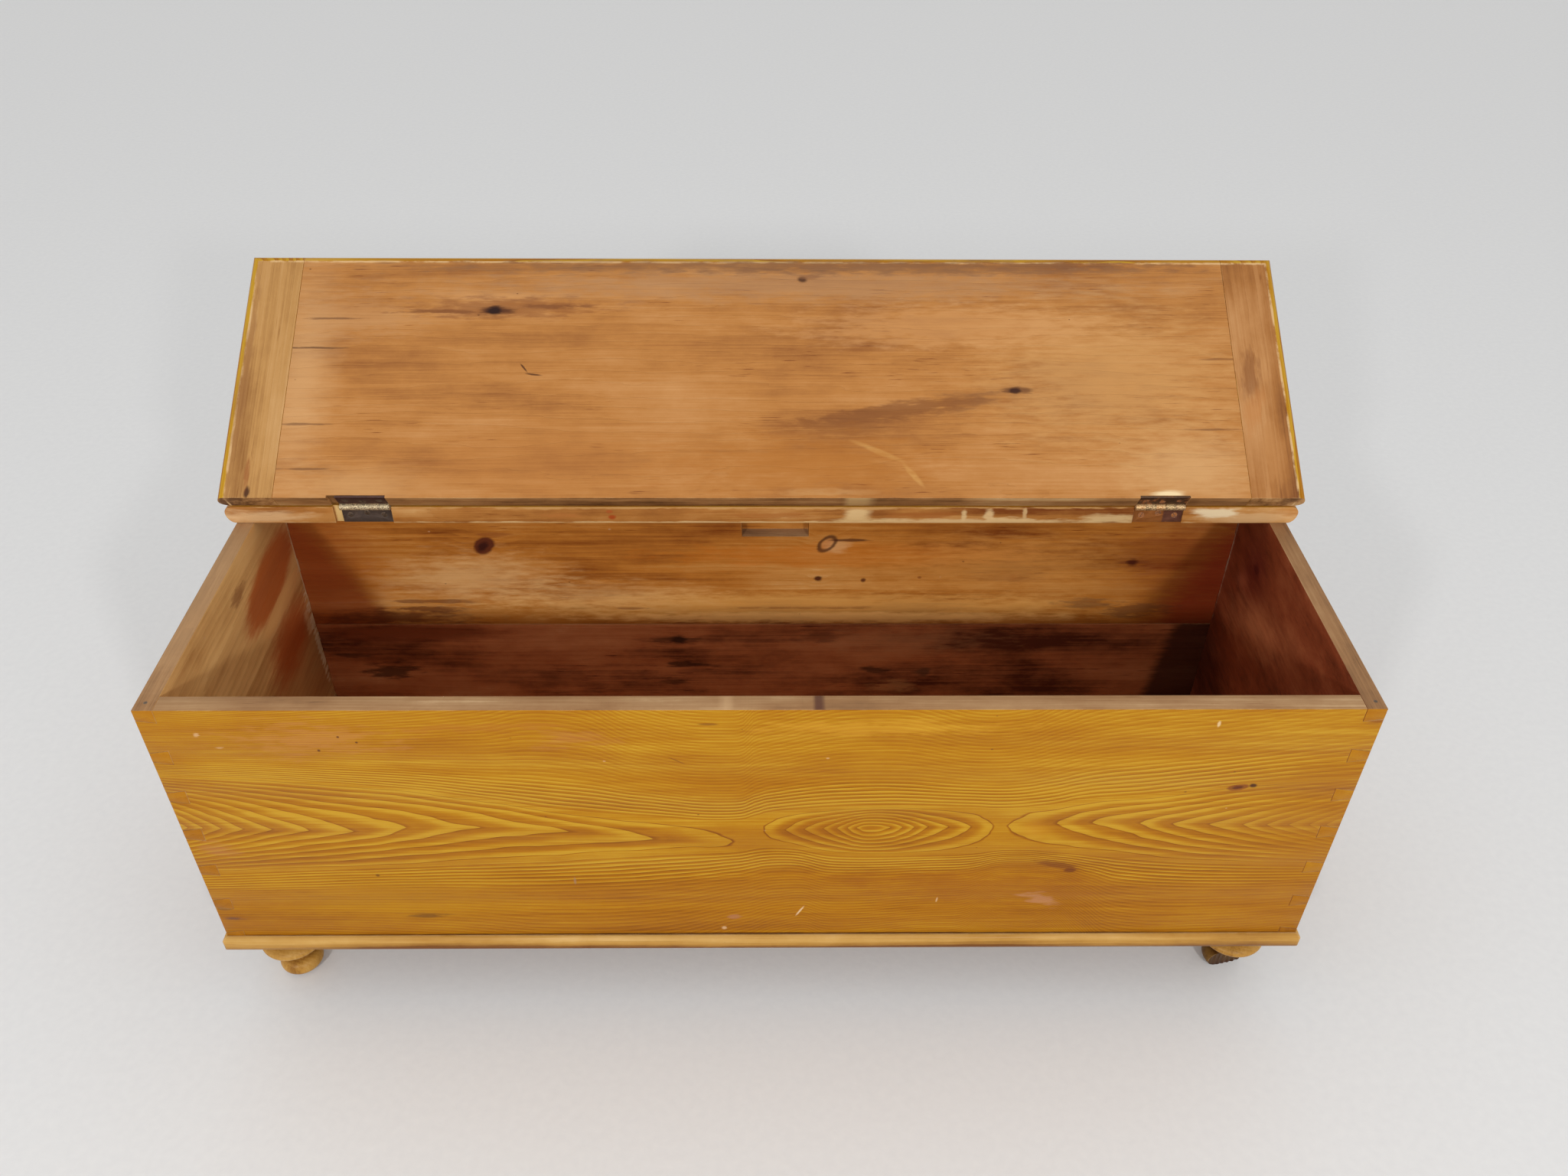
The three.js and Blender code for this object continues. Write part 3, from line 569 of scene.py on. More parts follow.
def pine(name, along, across, through, faces, rings, marks=(), worn=(0.0022, 0.45), on_lid=False,
         counted=None, shade=None, dents=0.12, torn_and_shaded=None):
    """A board's finish: faces lists (axis, sign, look), and the last one that matches a point wins."""
    finish = Finish(name)
    w = finish.w
    seed = rings["Seed"]
    plank = Plank(w, along, across, through, seed, on_lid)
    cone = w.place("cone rings", Pull=pulled_rings(plank, marks), **dict(plank.place, **rings))["Rings"]
    tone = w.place("year rings", Rings=cone, Seed=seed)["Tone"]
    main_tone = counted(w, plank) if counted else tone
    lift = w.math("ADD", shade(w, plank), PLAIN) if shade else PLAIN
    masks = {(axis, sign): plank.faces(axis, sign) for axis, sign, _ in faces}
    main_axis, main_sign, main = faces[0]
    colour = w.ramp(figure_of(w, main, main_tone, plank.fibres, lift), main["ramp"])
    roughness = main["rough"]
    for axis, sign, style in faces[1:]:
        shown = w.ramp(figure_of(w, style, tone, plank.fibres, lift), style["ramp"])
        colour = w.blend(masks[axis, sign], colour, shown)
        roughness = w.spread(masks[axis, sign], 0.0, 1.0, roughness, style["rough"], soft=False)
    if on_lid:
        colour = nosed_edge(w, plank, tone, colour)
    colour = lay_marks(w, plank, marks, colour, masks, (main_axis, main_sign))
    if torn_and_shaded:
        # The split foot's dark broken wood and its painted shade are laid here.
        broken = w.blend(plank.fibres["Fibre"], TORN_AND_SHADED_DARK, TORN_AND_SHADED_PALE)
        colour = w.blend(w.math("MULTIPLY", torn_and_shaded(w, plank), TORN_AND_SHADED_SHARE), colour, broken)
    pale = dots(w, plank, seed, PALE_PITCH, dents)
    dark = dots(w, plank, seed + 5, DARK_PITCH, dents)
    colour = w.blend(w.math("MULTIPLY", pale, PALE_SHARE), colour, PALE_DOTS)
    colour = w.blend(w.math("MULTIPLY", dark, DARK_SHARE), colour, DARK_DOTS)
    rubbed = w.place("worn arris", Radius=worn[0], Amount=worn[1], Seed=seed)["Mask"]
    colour = w.blend(w.math("MULTIPLY", rubbed, BARE_SHARE), colour, BARE_WOOD)
    roughness = w.math("MULTIPLY_ADD", w.math("SUBTRACT", plank.fibres["Grime"], 0.5), 0.3, roughness)
    roughness = w.math("MULTIPLY_ADD", rubbed, 0.2, roughness, clamp=True)
    relief = w.math("MULTIPLY_ADD", plank.fibres["Fibre"], 0.5, w.math("MULTIPLY", main_tone, 0.6))
    return finish.close(colour, roughness, relief, RELIEF_DEPTH, Specular_IOR_Level=WOOD_GLOSS)


print("a board's relief is", RELIEF_DEPTH * 1000, "mm deep")

# %% [markdown]
# ## The front board's figure
# The front is one wide plank sawn close to the pith, and its figure is the
# chest's best ornament: pointed arches open towards both ends, and between them
# lies a closed eye. Six curves along the plank draw it. One gives the height
# of the middle line and one counts the rings along it. Two give the height at
# which the broad arches end above and below, and two more where the bundle of
# fine rings beyond them fades into plain wood.

# %% Curves along the front
FRONT_SEED = 3.0
LAST_RING = 7.5
FINE_RINGS = 6.0
GAP_TONE = 0.76
FRONT_MIDDLE = [(-650, 197), (-546, 193), (-455, 190), (-393, 196), (-325, 196), (-224, 189), (-130, 176),
                (-34, 170), (-4, 187), (60, 192), (121, 194), (257, 196), (368, 201), (465, 199),
                (590, 197), (650, 197)]
FRONT_RINGS = [(-650, -4.5), (-579, -1), (-511, 1), (-455, 2), (-393, 3), (-325, 4), (-224, 5), (-130, 6),
               (-34, 7), (-15, 7.35), (-2, 7), (24, 6), (45, 5), (68, 4), (90, 2.5), (108, 0.8),
               (121, 0.2), (136, 0.6), (158, 2), (186, 4), (207, 5), (231, 6), (257, 7), (267, 7.25),
               (277, 7), (329, 6), (368, 5), (419, 4), (502, 2), (569, 0), (650, -4)]
ARCH_TOP = [(-650, 281), (-425, 262), (-300, 240), (-233, 224), (-130, 212), (-34, 204), (-10, 211),
            (13, 219), (130, 228), (233, 225), (264, 223), (311, 227), (357, 238), (428, 246), (545, 264),
            (650, 275)]
ARCH_FOOT = [(-650, 118), (-449, 128), (-233, 141), (-116, 150), (-34, 155), (12, 163), (83, 148),
             (193, 148), (233, 150), (287, 157), (334, 152), (381, 146), (428, 140), (545, 131),
             (650, 128)]
FADE_TOP = [(-650, 296), (-425, 284), (-300, 270), (-193, 256), (-130, 243), (-32, 233), (-10, 242),
            (13, 250), (130, 263), (233, 255), (264, 254), (311, 262), (357, 275), (428, 285), (545, 304),
            (650, 322)]
FADE_FOOT = [(-650, 92), (-378, 99), (-233, 100), (-116, 109), (-32, 121), (25, 132), (83, 119),
             (193, 122), (233, 124), (287, 137), (334, 132), (381, 118), (428, 104), (545, 97), (650, 100)]

FRONT_CURVES = (FRONT_MIDDLE, FRONT_RINGS, ARCH_TOP, ARCH_FOOT, FADE_TOP, FADE_FOOT)
print("points on the front's curves:", [len(points) for points in FRONT_CURVES])

# %% The front's rings


def curve(w, along, points, low, high):
    """A smooth curve through (millimetres along the plank, value) points."""
    length = 2000 * BOX_HALF
    node = w.add("ShaderNodeFloatCurve", {"Value": w.math("MULTIPLY_ADD", along, 1 / length, 0.5)})
    line = node.mapping.curves[0].points
    for number, (x, value) in enumerate(points):
        place = (x / length + 0.5, (value - low) / (high - low))
        if number < 2:
            line[number].location = place
        else:
            line.new(*place)
    node.mapping.update()
    return w.math("MULTIPLY_ADD", node.outputs[0], high - low, low)


def front_tone(w, plank):
    """The ring tone of the front face, from its drawn curves."""
    x, z = plank.along, plank.across
    # The six curves, each within the range that it runs in.
    middle = curve(w, x, FRONT_MIDDLE, 100, 300)
    first = curve(w, x, FRONT_RINGS, -5, 8)
    top, foot = curve(w, x, ARCH_TOP, 100, 300), curve(w, x, ARCH_FOOT, 50, 250)
    plain_top, plain_foot = curve(w, x, FADE_TOP, 150, 350), curve(w, x, FADE_FOOT, 50, 250)

    def share(high, low, value):
        """How far a value lies on the way from low to high, from 0 up."""
        above_low = w.math("SUBTRACT", value, low)
        return w.math("MAXIMUM", w.math("DIVIDE", above_low, w.math("SUBTRACT", high, low)), 0.0)

    # Above and below run from 0 on the middle line to 1 where the broad arches end.
    bow = w.math("ADD", w.spread(x, -380.0, -20.0, 3.0, 1.35), w.spread(x, 250.0, 420.0, 0.0, 0.45))
    above = w.math("MINIMUM", share(top, middle, z), 1.0)
    above = w.math("MULTIPLY_ADD", above, 0.45, w.math("MULTIPLY", w.math("POWER", above, bow), 0.55))
    below = w.math("POWER", w.math("MINIMUM", share(foot, middle, z), 1.0), 1.2)
    rings = w.math("MULTIPLY_ADD", w.math("SUBTRACT", LAST_RING, first), w.math("ADD", above, below), first)
    # Beyond the arches the rings go on finely and a little shaken.
    beyond = w.math("ADD", share(plain_top, top, z), share(plain_foot, foot, z))
    rings = w.math("MULTIPLY_ADD", beyond, FINE_RINGS, rings)
    shaken = w.noise(w.combine(w.math("MULTIPLY", x, 0.009), w.math("MULTIPLY", z, 0.035), 3.0), 2.0, 0.5)
    rings = w.math("MULTIPLY_ADD", w.math("SUBTRACT", shaken, 0.5), 0.8, rings)
    tone = w.place("year rings", Rings=rings, Seed=FRONT_SEED)["Tone"]
    # Where the last rings meet, between the eye and the arches, plain pale wood lies.
    between = w.math("MULTIPLY", w.spread(rings, 7.02, 7.1), w.spread(beyond, 0.0, 0.15, 1.0, 0.0))
    tone = w.math("MULTIPLY_ADD", between, w.math("SUBTRACT", GAP_TONE, tone), tone)
    # The figure fades away from the arches and towards both ends.
    far = w.math("MAXIMUM", share(plain_top, top, z), share(plain_foot, foot, z))
    shown = w.spread(far, 0.9, 1.5, 1.0, 0.34)
    shown = w.math("MULTIPLY", shown, w.spread(far, 0.0, 0.3, 1.0, 1.25))
    shown = w.math("MULTIPLY", shown, w.spread(x, 470.0, 640.0, 1.0, 0.4))
    shown = w.math("MULTIPLY", shown, w.spread(x, -640.0, -480.0, 0.78, 1.0))
    return w.math("MULTIPLY_ADD", w.math("SUBTRACT", tone, MIDDLE_TONE), shown, MIDDLE_TONE)


print("rings counted to", LAST_RING, "and", FINE_RINGS, "fine ones beyond")

# %% Bleached varnish and painted light
w, given, made = new_group("bleached varnish and painted light", {"Height": 0, "Foot": -0.1}, ["Lift"])
# Paler towards the top: partly bleached varnish, partly painted light, as more light falls high on a board.
w.fill(made["Lift"], w.spread(given["Height"], 20.0, 350.0, given["Foot"], 0.14))


def front_shade(w, plank):
    """The front is paler towards its top, partly bleached varnish and partly painted light, and has one long
    brown patch below its middle.
    """
    rise = w.place("bleached varnish and painted light", Height=plank.across, Foot=-0.08)["Lift"]
    brown = w.math("MULTIPLY", plank.mark(150, 150, 330, 70, -6, 0.25)["Mask"], -0.14)
    return w.math("ADD", rise, brown)


print("groups with the bleached varnish and painted light:", len(bpy.data.node_groups))

# %% Marks on the front
FRONT_MARKS = [
    Mark((-477, 335), (110, 30), (186, 124, 66), 0.42, 1.0, 1.0),
    Mark((-200, 335), (60, 18), (178, 114, 66), 0.3, 1.0, 1.0),
    Mark((-640, 52), (9, 4), (104, 66, 44), 0.7, 0.6),
    Mark((-300, 352), (110, 8), (170, 104, 30), 0.4, 0.8, tilt=2),
    Mark((120, 350), (160, 14), (206, 152, 44), 0.35, 0.7),
    Mark((250, 88), (200, 34), (150, 84, 14), 0.35, 0.8, tilt=-5),
    Mark((520, 258), (11, 4.5), (92, 34, 10), 0.95, tilt=8, rim=(128, 62, 14)),
    Mark((536, 261), (5, 4), (60, 20, 8), 0.9),
    Mark((340, 128), (34, 7), (112, 54, 14), 0.65, 0.6, tilt=-14),
    Mark((356, 119), (8, 5), (104, 48, 14), 0.7, 0.5),
    Mark((-401, 38), (26, 6), (98, 52, 18), 0.9, 0.8),
    Mark((43, 45), (13, 1.8), (224, 190, 148), 0.8, 0.2, tilt=62),
    Mark((205, 65), (6, 1.4), (214, 176, 132), 0.7, 0.2, tilt=84),
    Mark((328, 66), (30, 12), (186, 132, 96), 0.5, 0.7, tilt=-20),
    Mark((478, 355), (2.5, 6), (222, 190, 140), 0.8, 0.3),
    Mark((-57, 356), (14, 2.4), (122, 70, 18), 0.7),
    Mark((-93, 302), (14, 1), (120, 70, 20), 0.7, 0.2, tilt=-32),
    Mark((-220, 102), (2, 9), (150, 118, 92), 0.6, 0.4),
    Mark((-447, 113), (3, 3), (84, 40, 18), 0.9, 0.2),
    Mark((-37, 35), (11, 6), (166, 110, 84), 0.55, 0.6),
    Mark((-48, 13), (4, 4), (216, 176, 132), 0.7),
    Mark((60, 194), (60, 28), (150, 86, 10), 0.3, 0.4, tilt=20),
    Mark((306, 190), (26, 22), (186, 128, 28), 0.5, 0.1, 1.0),
    Mark((-617, 160), (24, 18), (170, 108, 66), 0.4, 0.7),
    Mark((-470, 318), (2.4, 2.4), (88, 44, 20), 0.9, 0.2),
    Mark((-446, 338), (2, 2), (88, 44, 20), 0.9, 0.2),
    Mark((-428, 330), (2.2, 2), (88, 44, 20), 0.9, 0.2),
    Mark((-593, 342), (4, 3), (208, 166, 120), 0.7, 1.0),
    Mark((-573, 322), (7, 3), (200, 156, 106), 0.6, 1.0),
    Mark((642, 363), (16, 10), (126, 66, 26), 0.7, 0.5),
    Mark((-634, 33), (20, 4), (104, 66, 50), 0.8, 0.7),
    Mark((-636, 66), (12, 5), (140, 88, 60), 0.6, 0.6),
    Mark((58, 380), (9, 60), (84, 50, 44), 0.8, 0.4, face=("Z", 1)),
    Mark((-40, 380), (14, 5), (206, 168, 124), 0.7, 0.5, face=("Z", 1)),
    # Dirt and painted shade: a dark line along the foot of the front, in the join with the bead.
    Mark((0, 0), (900, 4.4), (70, 36, 12), 1.0, 0.15),
    Mark((-450, 70), (260, 70), (176, 124, 14), 0.45, 0.4, 1.0),
]
print("marks on the front:", len(FRONT_MARKS))

# %% Front board
front_pine = pine(
    "front board pine", ("X", 1, 0), ("Z", 1, BOX_FLOOR), ("Y", 1, BOX_FRONT),
    [("Y", -1, HONEY), ("Y", 1, CLEAN), ("Z", 1, RAW), ("Z", -1, AGED), ("X", 1, END), ("X", -1, END)],
    {"Ring_Width": 6.3, "Waver": 2.2, "Seed": FRONT_SEED}, FRONT_MARKS, counted=front_tone, shade=front_shade,
    dents=0.1)
print("front finish:", front_pine.name)

# %% [markdown]
# ## The back, the ends and the bottom
# The back is two boards, honey coloured inside where light fell on them and
# brown below. The end boards are sawn from heavily figured wood, the right one
# dark and red. The faces that stood out of sight stayed raw.

# %% Looks and marks of the back
WARM = look([(120, 56, 14), (186, 117, 44), (208, 147, 76), (232, 186, 130)],
            rough=0.6, rings=-0.1, streaks=0.35, clouds=0.6, ticks=0.4, grime=0.45)
DARK = look([(92, 42, 24), (184, 108, 64), (202, 128, 80), (220, 160, 112)],
            rough=0.66, rings=-0.1, streaks=0.25, clouds=0.9, ticks=0.5, grime=0.8)
UPPER_MARKS = [
    Mark((60, 172), (560, 34), (240, 183, 100), 0.45, 0.4),
    Mark((120, 262), (330, 26), (200, 112, 27), 0.45, 0.5),
    Mark((-400, 222), (170, 62), (232, 186, 126), 0.6, 0.5, 1.0),
    Mark((-230, 190), (200, 40), (230, 182, 118), 0.5, 0.5, 1.0),
    Mark((330, 240), (260, 80), (222, 160, 84), 0.45, 0.5, 1.0),
    # Painted light: a pale strip just above the seam lifts the edge of the front rim's shadow.
    Mark((80, 153), (440, 13), (250, 196, 120), 0.6, 0.3),
    # Painted shadow: the next five marks darken both upper corners and the left end of the seam, where the
    # shadows of the end boards and the front rim fall.
    Mark((-600, 250), (120, 200), (146, 70, 32), 0.6, 0.2, 1.0),
    Mark((590, 260), (150, 190), (134, 60, 28), 0.6, 0.3, 1.0),
    Mark((-634, 194), (500, 90), (150, 66, 30), 0.66, 0.06, 0.3, tilt=-61),
    Mark((641, 203), (500, 90), (136, 44, 24), 0.8, 0.12, 0.6, tilt=64),
    Mark((-520, 152), (170, 22), (96, 46, 24), 0.8, 0.6, 0.9),
    Mark((520, 166), (60, 15), (110, 62, 32), 0.65, 0.9),
    Mark((-375, 278), (19, 14), (92, 40, 24), 0.95, 0.12, 0.3, tilt=50, pull=9),
    Mark((-377, 276), (14, 8), (58, 24, 18), 0.95, 0.2, tilt=50),
    Mark((-362, 296), (26, 7), (134, 68, 32), 0.5, 0.6),
    Mark((97, 276), (22, 14), (220, 166, 108), 0.7, 0.4, tilt=15),
    Mark((84, 281), (16, 10), (205, 140, 88), 0.5, 0.1, tilt=48, pull=9, rim=(68, 32, 20)),
    Mark((112, 287), (34, 3), (78, 37, 20), 0.8, 0.4),
    Mark((73, 222), (7, 6), (78, 32, 15), 0.95, pull=4),
    Mark((135, 219), (5, 5), (90, 41, 20), 0.9),
    Mark((212, 224), (4, 3), (134, 68, 24), 0.7),
    Mark((500, 249), (34, 5), (120, 60, 28), 0.6, 0.6),
    Mark((500, 249), (12, 8), (74, 28, 15), 0.95, 0.4, pull=5),
    Mark((453, 178), (52, 12), (117, 73, 41), 0.6, 0.9),
    Mark((-453, 182), (80, 5), (112, 59, 29), 0.7, 0.6),
    Mark((-470, 168), (70, 5), (102, 51, 27), 0.7, 0.7),
    Mark((-190, 170), (30, 3), (134, 76, 37), 0.6, 0.7),
    Mark((60, 170), (110, 3), (142, 81, 37), 0.5, 0.8),
    Mark((340, 223), (7, 9), (183, 117, 54), 0.6, 0.7),
]
LOWER_MARKS = [
    Mark((-500, 124), (170, 20), (150, 78, 44), 0.75, 0.3),
    Mark((190, 108), (170, 36), (188, 128, 84), 0.45, 0.6, 0.9),
    # Painted shadow: a dark patch in the lower right corner, where the shadows of the right end and the front
    # rim meet.
    Mark((616, 60), (280, 62), (56, 26, 22), 0.85, 0.1, 0.35, tilt=81),
    Mark((-123, 112), (15, 10), (41, 20, 15), 0.9, 0.4, pull=6),
    Mark((-123, 112), (50, 8), (63, 32, 20), 0.6, 0.8),
    Mark((-107, 65), (40, 7), (49, 24, 17), 0.75, 0.8),
    Mark((-130, 32), (24, 9), (54, 27, 17), 0.6, 0.8),
    Mark((-540, 53), (44, 20), (54, 29, 20), 0.75, 0.8),
    Mark((-590, 84), (30, 6), (61, 34, 22), 0.6, 0.8),
    Mark((160, 53), (26, 10), (54, 29, 20), 0.7, 0.7),
    Mark((230, 50), (16, 9), (76, 49, 34), 0.7, 0.6),
    Mark((190, 21), (44, 16), (205, 144, 90), 0.5, 0.6),
    Mark((80, 118), (30, 14), (85, 37, 22), 0.5, 0.7),
]
print("marks on the back:", len(UPPER_MARKS) + len(LOWER_MARKS))

# %% Back boards


def back_faces(inner):
    """The faces of a back board: its inner look, and raw or aged wood where no one looks."""
    return [("Y", -1, inner), ("Y", 1, AGED), ("Z", 1, RAW), ("Z", -1, RAW), ("X", 1, END), ("X", -1, END)]


upper_pine = pine(
    "upper back pine", ("X", 1, 0), ("Z", 1, BOX_FLOOR), ("Y", -1, BOX_BACK), back_faces(WARM),
    {"Ring_Width": 9.0, "Pith_Depth": 70, "Waver": 16, "Seed": 11.0}, UPPER_MARKS)
lower_pine = pine(
    "lower back pine", ("X", 1, 0), ("Z", 1, BOX_FLOOR), ("Y", -1, BOX_BACK), back_faces(DARK),
    {"Ring_Width": 9.0, "Pith_Depth": 50, "Waver": 14, "Seed": 17.0}, LOWER_MARKS)
print("back finishes:", upper_pine.name, "and", lower_pine.name)

# %% Looks and marks of the ends
# The left end's inner face: its own pale wood, painted paler still as painted light for the light that falls
# on it.
PALE_END_AND_PAINTED_LIGHT = look([(160, 102, 46), (224, 176, 110), (234, 192, 130), (240, 206, 154)],
                 rough=0.62, rings=-0.1, streaks=0.06, clouds=0.4, ticks=0.15, grime=0.3, fibres=0.25)
RED_END = look([(66, 24, 12), (134, 64, 36), (156, 86, 52), (180, 116, 78)],
               rough=0.6, rings=0.0, streaks=0.03, clouds=0.35, ticks=0.2, grime=1.0, fibres=0.15)
SIDE_HONEY = look([(132, 74, 6), (162, 102, 12), (174, 120, 22), (190, 144, 44)],
                  rough=0.38, rings=0.6, streaks=0.2, clouds=0.5, ticks=0.1, grime=0.3, fibres=0.7)
LEFT_MARKS = [
    Mark((330, 290), (118, 47), (182, 86, 30), 0.85, 0.12, 0.4, tilt=4),
    Mark((330, 100), (240, 110), (186, 128, 76), 0.5, 0.3, 0.5),
    Mark((340, 184), (108, 66), (176, 82, 32), 0.85, 0.2, 0.7, tilt=-4),
    Mark((345, 242), (90, 16), (226, 172, 106), 0.85, 0.06, 0.3),
    Mark((240, 335), (26, 14), (134, 79, 43), 0.6, 0.6),
    Mark((400, 160), (16, 26), (235, 199, 149), 0.5, 0.7),
    Mark((412, 110), (10, 110), (226, 200, 160), 0.8, 1.0),
    Mark((417, 240), (3, 140), (226, 200, 160), 0.7, 0.6),
    Mark((200, 376), (260, 40), (198, 158, 114), 0.4, face=("Z", 1)),
]
RIGHT_MARKS = [
    Mark((330, 305), (13, 10), (53, 19, 14), 0.9, 0.5, pull=8),
    Mark((336, 300), (70, 76), (92, 26, 24), 0.7, 0.3, 1.0),
    Mark((290, 240), (150, 52), (190, 116, 74), 0.7, 0.35, 1.0, tilt=-26),
    Mark((360, 264), (34, 20), (176, 96, 64), 0.6, 0.3, 1.0, tilt=-20),
    Mark((400, 90), (150, 100), (58, 24, 18), 0.7, 0.3, 1.0),
    Mark((100, 170), (120, 120), (74, 31, 17), 0.45, 0.4),
    Mark((417, 262), (3.4, 110), (206, 178, 152), 0.55, 0.5, 0.9),
]
print("marks on the ends:", len(LEFT_MARKS) + len(RIGHT_MARKS))

# %% End boards


def pin_shade(w, plank):
    """The pins grow paler upwards as the front does: partly bleached varnish, partly painted light."""
    # Painted light in part: the pins' upward paling follows the front's.
    rise = w.place("bleached varnish and painted light", Height=plank.across, Foot=-0.12)["Lift"]
    return w.math("MULTIPLY", rise, plank.faces("Y", -1))


def two_widths(w, plank):
    """The left end is glued up from two widths of board, and the lower one is browner."""
    browner = w.spread(plank.across, 223.0, 229.0, -0.22, 0.0)
    inside = w.math("SUBTRACT", 1.0, plank.faces("Y", -1))
    return w.math("ADD", w.math("MULTIPLY", browner, inside), pin_shade(w, plank))


def end_faces(side, inner):
    """The faces of an end board: inner look, varnish outside, raw edges and the pins' end grain."""
    edges = [("Z", 1, RAW), ("Z", -1, RAW), ("Y", -1, PIN), ("Y", 1, AGED)]
    return [("X", -side, inner), ("X", side, SIDE_HONEY)] + edges


left_pine = pine(
    "left end pine", ("Y", 1, BOX_FRONT), ("Z", 1, BOX_FLOOR), ("X", 1, -BOX_HALF), end_faces(-1, PALE_END_AND_PAINTED_LIGHT),
    {"Ring_Width": 12.0, "Pith_Depth": 48, "Waver": 30, "Seed": 23.0}, LEFT_MARKS, worn=(0.0018, 0.35),
    shade=two_widths)
right_pine = pine(
    "right end pine", ("Y", 1, BOX_FRONT), ("Z", 1, BOX_FLOOR), ("X", -1, BOX_HALF), end_faces(1, RED_END),
    {"Ring_Width": 12.0, "Pith_Depth": 44, "Waver": 26, "Seed": 29.0}, RIGHT_MARKS, worn=(0.0018, 0.35),
    shade=pin_shade)
print("end finishes:", left_pine.name, "and", right_pine.name)

# %% Bottom planks
plank_pine = pine(
    "bottom plank pine", ("X", 1, 0), ("Y", 1, 0), ("Z", 1, BOX_FLOOR),
    [("Z", 1, CLEAN), ("Z", -1, AGED), ("Y", 1, AGED)],
    {"Ring_Width": 8.0, "Pith_Depth": 60, "Waver": 12, "Seed": 31.0})
print("bottom finish:", plank_pine.name)

# %% [markdown]
# ## The rail and the lid
# The lid is thrown back, so the photograph shows its underside, which was never
# varnished: tan boards with brown streaks. The nosed edge and the top carry the
# same golden varnish as the front.

# %% Looks of the lid
TAN = look([(128, 72, 34), (182, 122, 62), (198, 142, 86), (216, 168, 116)],
           rough=0.6, rings=-0.06, streaks=0.22, clouds=0.45, ticks=0.5, grime=0.45, fibres=0.5)
PALE_TAN = look([(130, 82, 38), (186, 138, 80), (200, 154, 100), (216, 176, 126)],
                rough=0.6, rings=-0.08, streaks=0.3, clouds=0.45, ticks=0.3, grime=0.4)
BROWN_TAN = look([(104, 56, 26), (164, 108, 56), (186, 132, 80), (202, 154, 104)],
                 rough=0.6, rings=-0.1, streaks=0.3, clouds=0.9, ticks=0.3, grime=0.5)
EDGE = look([(104, 68, 36), (168, 122, 74), (192, 150, 98), (222, 188, 136)],
            rough=0.7, rings=-0.1, streaks=0.9, clouds=1.2, ticks=0.5, grime=0.8)
TOP = look([(130, 72, 2), (162, 101, 5), (174, 119, 12), (190, 144, 34)],
           rough=0.36, rings=0.42, streaks=0.3, clouds=0.4, ticks=0.08, grime=0.35, fibres=0.8)
print("the top's rings show", round(TOP["rings"] / HONEY["rings"], 2), "times as much as the front's")

# %% Marks on the lid
LID_MARKS = [
    Mark((-575, 170), (60, 230), (208, 160, 108), 0.65, 0.2, 1.0),
    Mark((520, 40), (130, 80), (214, 168, 114), 0.6, 0.3, 1.0),
    Mark((-500, 14), (140, 44), (208, 160, 106), 0.5, 0.3, 1.0),
    Mark((60, 296), (620, 36), (172, 130, 92), 0.55, 0.5, 0.9),
    Mark((0, 324), (680, 15), (124, 86, 58), 0.6, 0.5, 0.9),
    Mark((240, 322), (420, 13), (120, 80, 54), 0.4, 0.6),
    Mark((430, 160), (230, 150), (204, 152, 92), 0.6, 0.5, 0.9),
    Mark((-520, 250), (110, 40), (190, 140, 92), 0.4, 0.6),
    Mark((240, 235), (260, 40), (206, 150, 94), 0.45, 0.6),
    Mark((-330, 262), (160, 19), (136, 80, 42), 0.6, 0.6),
    Mark((-410, 256), (70, 4), (112, 64, 36), 0.6, 0.7),
    Mark((-268, 264), (54, 4), (112, 64, 36), 0.6, 0.7),
    Mark((-338, 258), (30, 8), (74, 38, 24), 0.85, 0.5),
    Mark((-342, 258), (13, 8), (38, 18, 16), 0.95, 0.25),
    Mark((170, 118), (160, 16), (118, 68, 36), 0.65, 0.6, tilt=9),
    Mark((110, 98), (90, 24), (136, 84, 44), 0.5, 0.7, tilt=6),
    Mark((316, 146), (26, 6), (96, 54, 32), 0.7, 0.5),
    Mark((313, 145), (9, 6), (52, 26, 20), 0.9, 0.3),
    Mark((49, 304), (9, 6), (70, 40, 26), 0.9),
    Mark((56, 308), (16, 6), (132, 88, 58), 0.6, 0.5),
    Mark((-300, 176), (10, 1.6), (70, 38, 24), 0.85, 0.3, tilt=-52),
    Mark((-288, 167), (14, 1.8), (76, 42, 26), 0.85, 0.3, tilt=-8),
    Mark((-560, 204), (44, 2.2), (78, 46, 30), 0.7, 0.6),
    Mark((-550, 246), (50, 2.2), (92, 56, 36), 0.6, 0.6),
    Mark((-556, 98), (50, 2.4), (96, 60, 38), 0.6, 0.6),
    Mark((-560, 38), (44, 2.4), (92, 56, 36), 0.6, 0.6),
    Mark((560, 92), (46, 2.4), (110, 66, 38), 0.6, 0.6),
    Mark((575, 190), (34, 2.2), (110, 66, 38), 0.6, 0.6),
    Mark((140, 62), (44, 5), (212, 162, 92), 0.6, 0.3, tilt=-24),
    Mark((182, 30), (26, 5), (212, 162, 92), 0.6, 0.3, tilt=-52),
    Mark((70, 8), (70, 7), (206, 160, 104), 0.5, 0.6),
    Mark((60, 44), (240, 60), (172, 106, 40), 0.6, 0.5, 0.9),
    Mark((-260, 50), (260, 70), (180, 116, 56), 0.4, 0.5, 0.9),
    Mark((492, 5), (26, 7), (240, 214, 166), 0.95, 0.2),
    Mark((114, 0), (24, 40), (216, 180, 122), 0.75, 0.3, face=("Y", 1)),
]
print("marks on the lid:", len(LID_MARKS))

# %% Lid board and cleats
LID_ACROSS = ("Y", -1, HINGE_AXIS[1] - 0.001)
LID_THROUGH = ("Z", 1, HINGE_AXIS[2] - 0.025)


def lid_faces(under, ends=HONEY):
    """The faces of a lid piece as if shut: the underside's look, and varnish on the rest."""
    boards = [("Z", -1, under), ("Z", 1, TOP), ("Y", -1, HONEY)]
    return boards + [("X", 1, ends), ("X", -1, ends), ("Y", 1, EDGE)]


